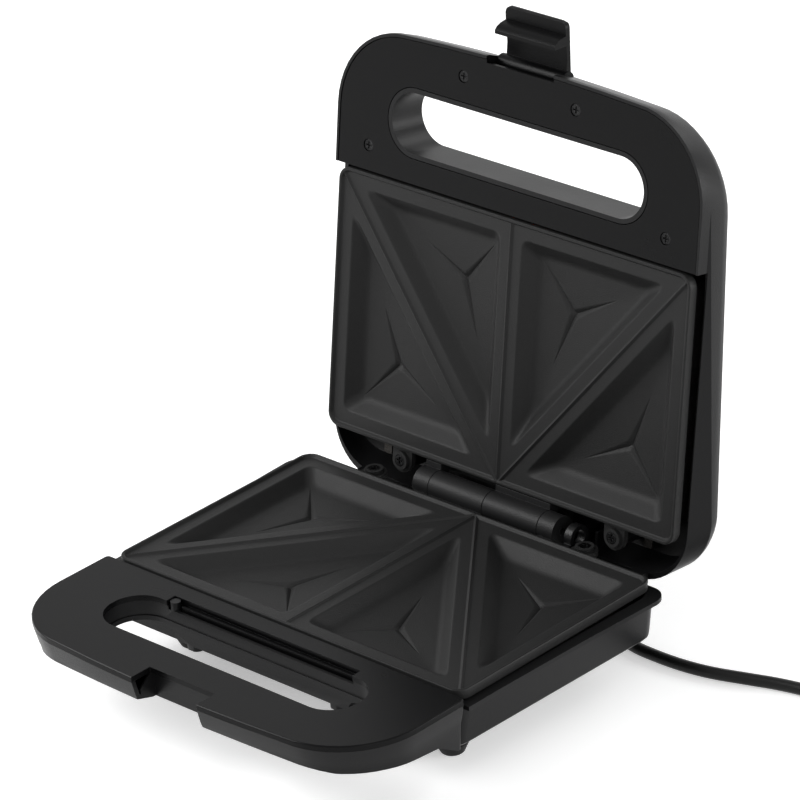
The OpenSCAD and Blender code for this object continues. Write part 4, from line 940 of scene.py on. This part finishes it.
@dataclass(frozen=True)
class CookingPlate:
    """One cast plate: raised rim, land, beads between four triangular pockets, and skirt.

    Sizes are in millimetres, and the sharp turn is in radians. The foot's round is given as
    pairs of the way in and the way up from the skirt's bottom corner. The plan is divided into
    twelve triangles, three to a pocket, that meet at the pocket's lowest point, so that rows of
    points follow the rim, beads and walls, and the sides of the triangles follow the three
    creases of the pocket floor.
    """

    node: str
    name: str
    body: Body
    turned_over: bool
    width: float = 212.0
    depth: float = 125.5
    corner: float = 6.5
    thick: float = 5.0
    rim_flat: float = 1.2
    rim_run: float = 1.25
    land_drop: float = 1.4
    bead_half: float = 1.15
    bead_top: float = 0.5
    front_land: float = 7.5
    edge_land: float = 8.0
    bead_land: float = 6.0
    wall_slope: float = 1.05
    wall_end: float = 4.2
    floor_start: float = 9.0
    floor_slope: float = 0.075
    wall_round: float = 1.2
    floor_blend: float = 4.5
    front_middle: tuple[float, float] = (33.0, 38.0)
    rear_middle: tuple[float, float] = (70.7, 89.5)
    crease_length: float = 29.0
    crease_half: float = 1.8
    crease_depth: float = 1.4
    edge_round: float = 0.5
    foot_round: Profile = ((0.0, 0.8), (0.3, 0.2), (0.8, 0.0))
    foot_width: float = 1.4
    wall_thick: float = 2.0
    ear_overlap: float = 0.7
    ear_outward: float = 1.0
    sharp_turn: float = 0.7
    cells: int = 92
    under_share: int = 4
    row_shares: tuple[float, float] = (0.8, 0.2)

    def _slope(self) -> float:
        """Millimetres across the diagonal for one unit of x over half width plus y over depth."""
        return 1.0 / math.hypot(2.0 / self.width, 1.0 / self.depth)

    def _pockets(self) -> tuple[tuple[np.ndarray, np.ndarray], ...]:
        """The two pockets right of the middle bead, the front one first.

        Returns:
            For each pocket its triangle's corners, and its lowest point.
        """
        w, d = self.width / 2, self.depth
        return ((np.array([(0.0, 0.0), (w, 0.0), (0.0, d)]), np.array(self.front_middle)),
                (np.array([(w, 0.0), (w, d), (0.0, d)]), np.array(self.rear_middle)))

    def plan(self, cells: int) -> tuple[np.ndarray, np.ndarray]:
        """Plan points and triangles.

        In each of the twelve triangles a row of points runs beside the pocket's edge, and in a
        row the points crowd towards both ends. The rows step towards the lowest point by an even
        share and a squared share of the way, so that they lie closer near the edge.

        Args:
            cells: Steps along each side.

        Returns:
            Points as (x, y) rows, and triangles that run counter-clockwise.
        """
        r, c = np.nonzero(np.add.outer(np.arange(cells + 1), np.arange(cells + 1)) <= cells)
        index = np.zeros((cells + 2, cells + 2), int)
        index[r, c] = np.arange(len(r))
        up, down = r + c < cells, r + c < cells - 1
        tri = np.vstack([
            np.stack([index[r, c], index[r, c + 1], index[r + 1, c]], axis=-1)[up],
            np.stack([index[r, c + 1], index[r + 1, c + 1], index[r + 1, c]], axis=-1)[down]])
        even, late = self.row_shares
        t = r / cells
        t = (even * t + late * t * t)[:, None]
        s = crowded(c / np.maximum(cells - r, 1))[:, None]
        points, faces, first = [], [], 0
        for corners, middle in self._pockets():
            for k in range(3):
                a, b = corners[k], corners[(k + 1) % 3]
                p = (1 - t) * (a + s * (b - a)) + t * middle
                for side in (1, -1):
                    points.append(p * [side, 1.0])
                    faces.append((tri if side > 0 else tri[:, ::-1]) + first)
                    first += len(p)
        points, faces = np.vstack(points), np.vstack(faces)
        _, kept, same = np.unique(plan_keys(points), axis=0, return_index=True,
                                  return_inverse=True)
        return points[kept], same.ravel()[faces]

    def edge_points(self) -> np.ndarray:
        """Plan points of the outer edge, counter-clockwise from the front left corner.

        Returns:
            Points as (x, y) rows, in the same places as the plan's own.
        """
        s = crowded(np.arange(self.cells) / self.cells)
        w, d = self.width / 2, self.depth
        stops = [(-w, 0.0), (0.0, 0.0), (w, 0.0), (w, d), (0.0, d), (-w, d), (-w, 0.0)]
        return np.vstack([np.array(a) + s[:, None] * (np.array(b) - np.array(a))
                          for a, b in zip(stops[:-1], stops[1:])])

    def rounded(self, plan: np.ndarray) -> tuple[np.ndarray, np.ndarray]:
        """Moves plan points so that the outline gets round corners.

        Near a corner a point's larger offset from the corner's centre becomes its radius.

        Args:
            plan: Points as (x, y) rows.

        Returns:
            The moved points, and the outward direction at each.
        """
        half = np.array([self.width / 2, self.depth / 2])
        p = plan - [0.0, self.depth / 2]
        off = np.abs(p) - (half - self.corner)
        near = (off > 0).all(axis=1)
        tiny = 1e-9
        length = np.maximum(np.linalg.norm(off, axis=1), tiny)
        scaled = off * (off.max(axis=1) / length)[:, None]
        moved = np.where(near[:, None], (half - self.corner + scaled) * np.sign(p), p)
        flat = (off == off.max(axis=1, keepdims=True)).astype(float)
        out = np.where(near[:, None], off / length[:, None], flat) * np.sign(p)
        return moved + [0.0, self.depth / 2], out

    def wall(self, inward: np.ndarray) -> np.ndarray:
        """Height under the land by distance inside a pocket's edge.

        The slope grows over the wall's round, holds down the wall, then eases to the floor's
        slope; the height is the sum of the slope along the way.

        Args:
            inward: Distances in millimetres, nought or less outside the pocket.

        Returns:
            Heights in millimetres, nought or less.
        """
        reach, steps = 40.0, 1601
        d = np.linspace(0.0, reach, steps)
        slope = self.wall_slope * smooth_step(d / self.wall_round)
        ease = smooth_step((d - self.wall_end) / (self.floor_start - self.wall_end))
        slope = slope + (self.floor_slope - slope) * ease
        return -np.interp(inward, d, np.concatenate([[0.0], np.cumsum(slope[1:] * d[1])]))

    def _inset(self, x: np.ndarray, y: np.ndarray) -> np.ndarray:
        """Distance inside the outline: near a corner, its radius less the way from its centre.

        Args:
            x: Distances from the middle line.
            y: Distances behind the front edge.

        Returns:
            The distances, nought on the outline.
        """
        past_x = x - self.width / 2 + self.corner
        past_y = np.abs(y - self.depth / 2) - self.depth / 2 + self.corner
        straight = np.minimum(np.maximum(past_x, past_y), 0)
        return self.corner - np.hypot(np.maximum(past_x, 0), np.maximum(past_y, 0)) - straight

    def _across(self, x: np.ndarray, y: np.ndarray) -> np.ndarray:
        """Distance behind the diagonal that runs from the front corner to the rear middle."""
        return (x / (self.width / 2) + y / self.depth - 1.0) * self._slope()

    def _edges(self, rear: bool, x: np.ndarray, y: np.ndarray) -> tuple[np.ndarray, ...]:
        """Distances inside the three edges of a pocket, each a straight line.

        Args:
            rear: Whether it is the rear pocket.
            x: Distances from the middle line.
            y: Distances behind the front edge.

        Returns:
            The distance from each edge.
        """
        across = self._across(x, y)
        if rear:
            return (self.depth - y - self.edge_land, self.width / 2 - x - self.edge_land,
                    across - self.bead_land)
        return y - self.front_land, x - self.bead_land, -across - self.bead_land

    def _creases(self, x: np.ndarray, y: np.ndarray, corners: np.ndarray,
                 middle: np.ndarray) -> np.ndarray:
        """Depth of the three creases that run from a pocket's lowest point to its corners.

        Each is a V whose depth and width fade evenly along its length.

        Args:
            x: Distances from the middle line.
            y: Distances behind the front edge.
            corners: Corners of the pocket's triangle.
            middle: The pocket's lowest point.

        Returns:
            Depths in millimetres.
        """
        deepest, slack, least_half = np.zeros_like(x), 0.01, 0.05
        for corner in corners:
            way = (corner - middle) / np.linalg.norm(corner - middle)
            along = (x - middle[0]) * way[0] + (y - middle[1]) * way[1]
            aside = np.abs((x - middle[0]) * way[1] - (y - middle[1]) * way[0])
            left = np.clip(1.0 - along / self.crease_length, 0.0, 1.0)
            left = np.where(along > -slack, left, 0.0)
            share = np.clip(1.0 - aside / (self.crease_half * left + least_half), 0.0, 1.0)
            deepest = np.maximum(deepest, self.crease_depth * left * share)
        return deepest

    def height(self, x: np.ndarray, y: np.ndarray) -> np.ndarray:
        """Height of the cooking face under the rim's top.

        From the outside in: a flat rim, a short run down to the land, beads of a squared cosine
        along the middle and both diagonals, pocket walls by the distance inside the pocket's
        nearest edge, and the creases. In a pocket the three distances are scaled to be equal at
        its lowest point.

        Args:
            x: Distances from the middle line, to either side.
            y: Distances behind the front edge.

        Returns:
            Heights in millimetres, nought on the rim and negative below.
        """
        x = np.abs(x)
        across = self._across(x, y)
        z = -self.land_drop * smooth_step((self._inset(x, y) - self.rim_flat) / self.rim_run)
        off = np.minimum(x, np.abs(across)) / self.bead_half
        bead = (self.land_drop - self.bead_top) * np.cos(np.minimum(off, 1) * math.pi / 2) ** 2
        z = np.maximum(z, -self.land_drop + bead)
        for rear, (corners, middle) in zip((False, True), self._pockets()):
            at = self._edges(rear, *middle)
            reach = sum(at) / 3
            scaled = (edge * reach / a for edge, a in zip(self._edges(rear, x, y), at))
            low = self.wall(soft_least(*scaled, reach=self.floor_blend))
            groove = self._creases(x, y, corners, middle)
            z = np.where((across > 0) == rear, z + low - groove, z)
        return z

    def _underside(self) -> tuple[np.ndarray, np.ndarray, np.ndarray]:
        """The underside: the cooking face again on a coarser plan.

        It lies a wall lower and nowhere above the skirt's foot, and its edge is the foot's
        inner line.

        Returns:
            Points in millimetres, triangles, and row numbers of the edge's points.
        """
        plan, faces = self.plan(self.cells // self.under_share)
        edge = self.edge_points()[::self.under_share]
        foot = rows_of(edge, plan)
        moved, _ = self.rounded(plan)
        ring, out = self.rounded(edge)
        moved[foot] = ring - out * self.foot_width
        z = np.minimum(-self.thick, self.height(*moved.T) - self.wall_thick)
        z[foot] = -self.thick
        return np.column_stack([moved, z]), faces, foot

    def face_skin(self) -> Skin:
        """The whole closed casting: cooking face, rounded edge, skirt and underside.

        The edge is a quarter round of four rings, the skirt goes straight down to the foot's
        round, and fans join its last ring to the underside's edge, a few points to one.

        Returns:
            Points in millimetres and their faces.
        """
        plan, top = self.plan(self.cells)
        edge = self.edge_points()
        moved, _ = self.rounded(plan)
        rim = rows_of(edge, plan)
        ring, out = self.rounded(edge)
        moved[rim] = ring - out * self.edge_round
        face = np.column_stack([moved, self.height(*moved.T)])
        sizes = [(self.edge_round * (1 - math.sin(a)), -self.edge_round * (1 - math.cos(a)))
                 for a in np.radians([22.5, 45.0, 67.5, 90.0])]
        sizes += [(inward, up - self.thick) for inward, up in self.foot_round]
        rings = [np.column_stack([ring - out * inward, np.full(len(ring), z)])
                 for inward, z in sizes]
        bottom, under, foot = self._underside()
        n, m, share = len(edge), len(face), self.under_share
        i, j = np.arange(n), (np.arange(n) + 1) % n
        levels = [rim] + [m + k * n + i for k in range(len(rings))]
        quads = [np.stack([low[i], low[j], high[j], high[i]], axis=-1)
                 for high, low in zip(levels[:-1], levels[1:])]
        first = m + len(rings) * n
        last, feet, after = levels[-1], first + foot, first + np.roll(foot, -1)
        fan = np.stack([last[i], feet[i // share], last[j]], axis=-1)[i % share != share - 1]
        close = np.stack([feet, after, last[share - 1::share]], axis=-1)
        close_2 = np.stack([after, np.roll(last[::share], -1), last[share - 1::share]], axis=-1)
        return (np.vstack([face, *rings, bottom]),
                [np.vstack([top, under[:, ::-1] + first, fan, close, close_2]),
                 np.vstack(quads)])

    def ears(self) -> Skin:
        """The screw ears, cut from a copy of the node behind the casting's rear face.

        Returns:
            Points in metres, in the frame, and their faces.
        """
        points, tri = cad_arrays(self.node)
        place = PLACE.lid if self.turned_over else PLACE.base
        at = place(np.array([[0.0, self.depth - self.ear_overlap, 0.0],
                             [0.0, self.depth + self.ear_outward, 0.0]]))
        work = bmesh.new()
        shell = bpy.data.meshes.new("ear_cut")
        shell.from_pydata(points.tolist(), [], tri.tolist())
        work.from_mesh(shell)
        whole_faces(work)
        bmesh.ops.bisect_plane(work, geom=work.verts[:] + work.edges[:] + work.faces[:],
                               dist=MERGE_M / 2, plane_co=at[0], plane_no=at[1] - at[0],
                               clear_inner=True)
        bmesh.ops.holes_fill(work, edges=[e for e in work.edges if e.is_boundary], sides=0)
        bmesh.ops.triangulate(work, faces=work.faces[:])
        work.to_mesh(shell)
        work.free()
        co = np.empty(len(shell.vertices) * 3, np.float32)
        shell.vertices.foreach_get("co", co)
        loops = np.empty(len(shell.loops), np.int32)
        shell.loops.foreach_get("vertex_index", loops)
        bpy.data.meshes.remove(shell)
        return co.reshape(-1, 3), [loops.reshape(-1, 3)]

    def build(self) -> bpy.types.Object:
        """Builds the plate with its ears, and marks the edges between faces that turn sharply.

        Returns:
            The plate.
        """
        points, faces = self.face_skin()
        points = PLACE.lid(PLACE.turned(points)) if self.turned_over else PLACE.base(points)
        points, faces = joined([(points, faces), self.ears()])
        piece = mesh_object(self.name, points, faces)
        work = bmesh.new()
        work.from_mesh(piece.data)
        flags = np.array([line.is_manifold and line.calc_face_angle(0.0) > self.sharp_turn
                          for line in work.edges])
        work.free()
        sharp = piece.data.attributes.new("sharp_edge", "BOOLEAN", "EDGE")
        sharp.data.foreach_set("value", flags)
        return dressed(piece, COATING, self.body, (self.node,))


# ---------- pieces that keep their solid's shape ----------


@dataclass(frozen=True)
class KeptShape:
    """A piece whose solid has the right shape: it is copied, and its edges are rounded."""

    node: str
    finish: Finish
    slot: str
    edge: float = 0.3
    sharp: float = SHARP_TURN_DEGREES

    def build(self, body: Body) -> bpy.types.Object:
        """Builds the piece on its body."""
        piece = softened(self.node, self.node + "_piece", self.edge, self.sharp)
        return dressed(piece, self.finish, body, (self.node,))


@dataclass(frozen=True)
class BaseShell:
    """Base housing, handle cover, bottom cover, feet and the screws that hold them."""

    parts: tuple[KeptShape, ...] = (
        KeptShape("base_housing", BODY_PLASTIC, "body", 0.35),
        KeptShape("base_handle_cover", PANEL_PLASTIC, "panel", 0.3),
        KeptShape("cover_screws", BLACKED_STEEL, "screw", 0.15),
        KeptShape("slot_rail", PANEL_PLASTIC, "panel", 0.2),
        KeptShape("bottom_cover", BODY_PLASTIC, "body", 0.35),
        KeptShape("bottom_screws", BRIGHT_STEEL, "screw", 0.15),
        KeptShape("feet", FOOT_RUBBER, "foot", 0.4),
        KeptShape("terminal_block", CERAMIC, "ceramic", 0.2),
        KeptShape("wire_bush", BODY_PLASTIC, "hinge", 0.3),
    )

    def build(self) -> None:
        """Builds every piece on the base."""
        for part in self.parts:
            part.build(Body.BASE)


@dataclass(frozen=True)
class Heating:
    """Rods, reflectors, thermostat and fuse of both halves."""

    base_parts: tuple[KeptShape, ...] = (
        KeptShape("lower_rod", ROD_STEEL, "rod", 0.0, 40.0),
        KeptShape("lower_reflector", SHEET_STEEL, "sheet", 0.15),
        KeptShape("thermostat", CERAMIC, "ceramic", 0.2),
        KeptShape("thermal_fuse", CERAMIC, "ceramic", 0.1),
        KeptShape("lower_plate_screws", BLACKED_STEEL, "screw", 0.15),
    )
    lid_parts: tuple[KeptShape, ...] = (
        KeptShape("upper_rod", ROD_STEEL, "rod", 0.0, 40.0),
        KeptShape("upper_reflector", SHEET_STEEL, "sheet", 0.15),
        KeptShape("upper_plate_screws", BLACKED_STEEL, "screw", 0.15),
    )

    def build(self) -> None:
        """Builds the pieces on their bodies."""
        for part in self.base_parts:
            part.build(Body.BASE)
        for part in self.lid_parts:
            part.build(Body.LID)


@dataclass(frozen=True)
class Hinge:
    """Both leaves and the pin."""

    base_leaf: KeptShape = KeptShape("base_hinge_leaf", HINGE_PAINT, "hinge", 0.35)
    lid_leaf: KeptShape = KeptShape("lid_hinge_leaf", HINGE_PAINT, "hinge", 0.35)
    pin: KeptShape = KeptShape("hinge_pin", BLACKED_STEEL, "pin", 0.3)

    def build(self) -> None:
        """Builds the leaves and the pin."""
        self.base_leaf.build(Body.BASE)
        self.pin.build(Body.BASE)
        self.lid_leaf.build(Body.LID)


@dataclass(frozen=True)
class LidShell:
    """Lid shell, handle panel, its screws and the lamps."""

    parts: tuple[KeptShape, ...] = (
        KeptShape("lid_shell", BODY_PLASTIC, "body", 0.35),
        KeptShape("lid_handle_panel", PANEL_PLASTIC, "panel", 0.25),
        KeptShape("lid_panel_screws", BLACKED_STEEL, "screw", 0.15),
        KeptShape("lamp_lenses", RED_LENS, "lens", 0.3),
        KeptShape("neon_lamps", NEON_GLASS, "neon", 0.3),
        KeptShape("latch_pin", BRIGHT_STEEL, "pin", 0.2),
    )

    def build(self) -> None:
        """Builds every piece on the lid."""
        for part in self.parts:
            part.build(Body.LID)


@dataclass(frozen=True)
class Latch:
    """The latch that swings from the lid over the base handle."""

    part: KeptShape = KeptShape("latch", LATCH_PLASTIC, "latch", 0.4)

    def build(self) -> None:
        """Builds the latch."""
        self.part.build(Body.LATCH)


def main() -> None:
    """Builds the camera, the studio and every sub-assembly in order."""
    Viewpoint().build()
    Studio().build()
    CordRun().build()
    CookingPlate("lower_plate", "lower_cooking_plate", Body.BASE, False).build()
    CookingPlate("upper_plate", "upper_cooking_plate", Body.LID, True).build()
    for part in (BaseShell(), Heating(), Hinge(), LidShell(), Latch()):
        part.build()
        log.info("built %s", type(part).__name__)


if __name__ == "__main__":
    main()
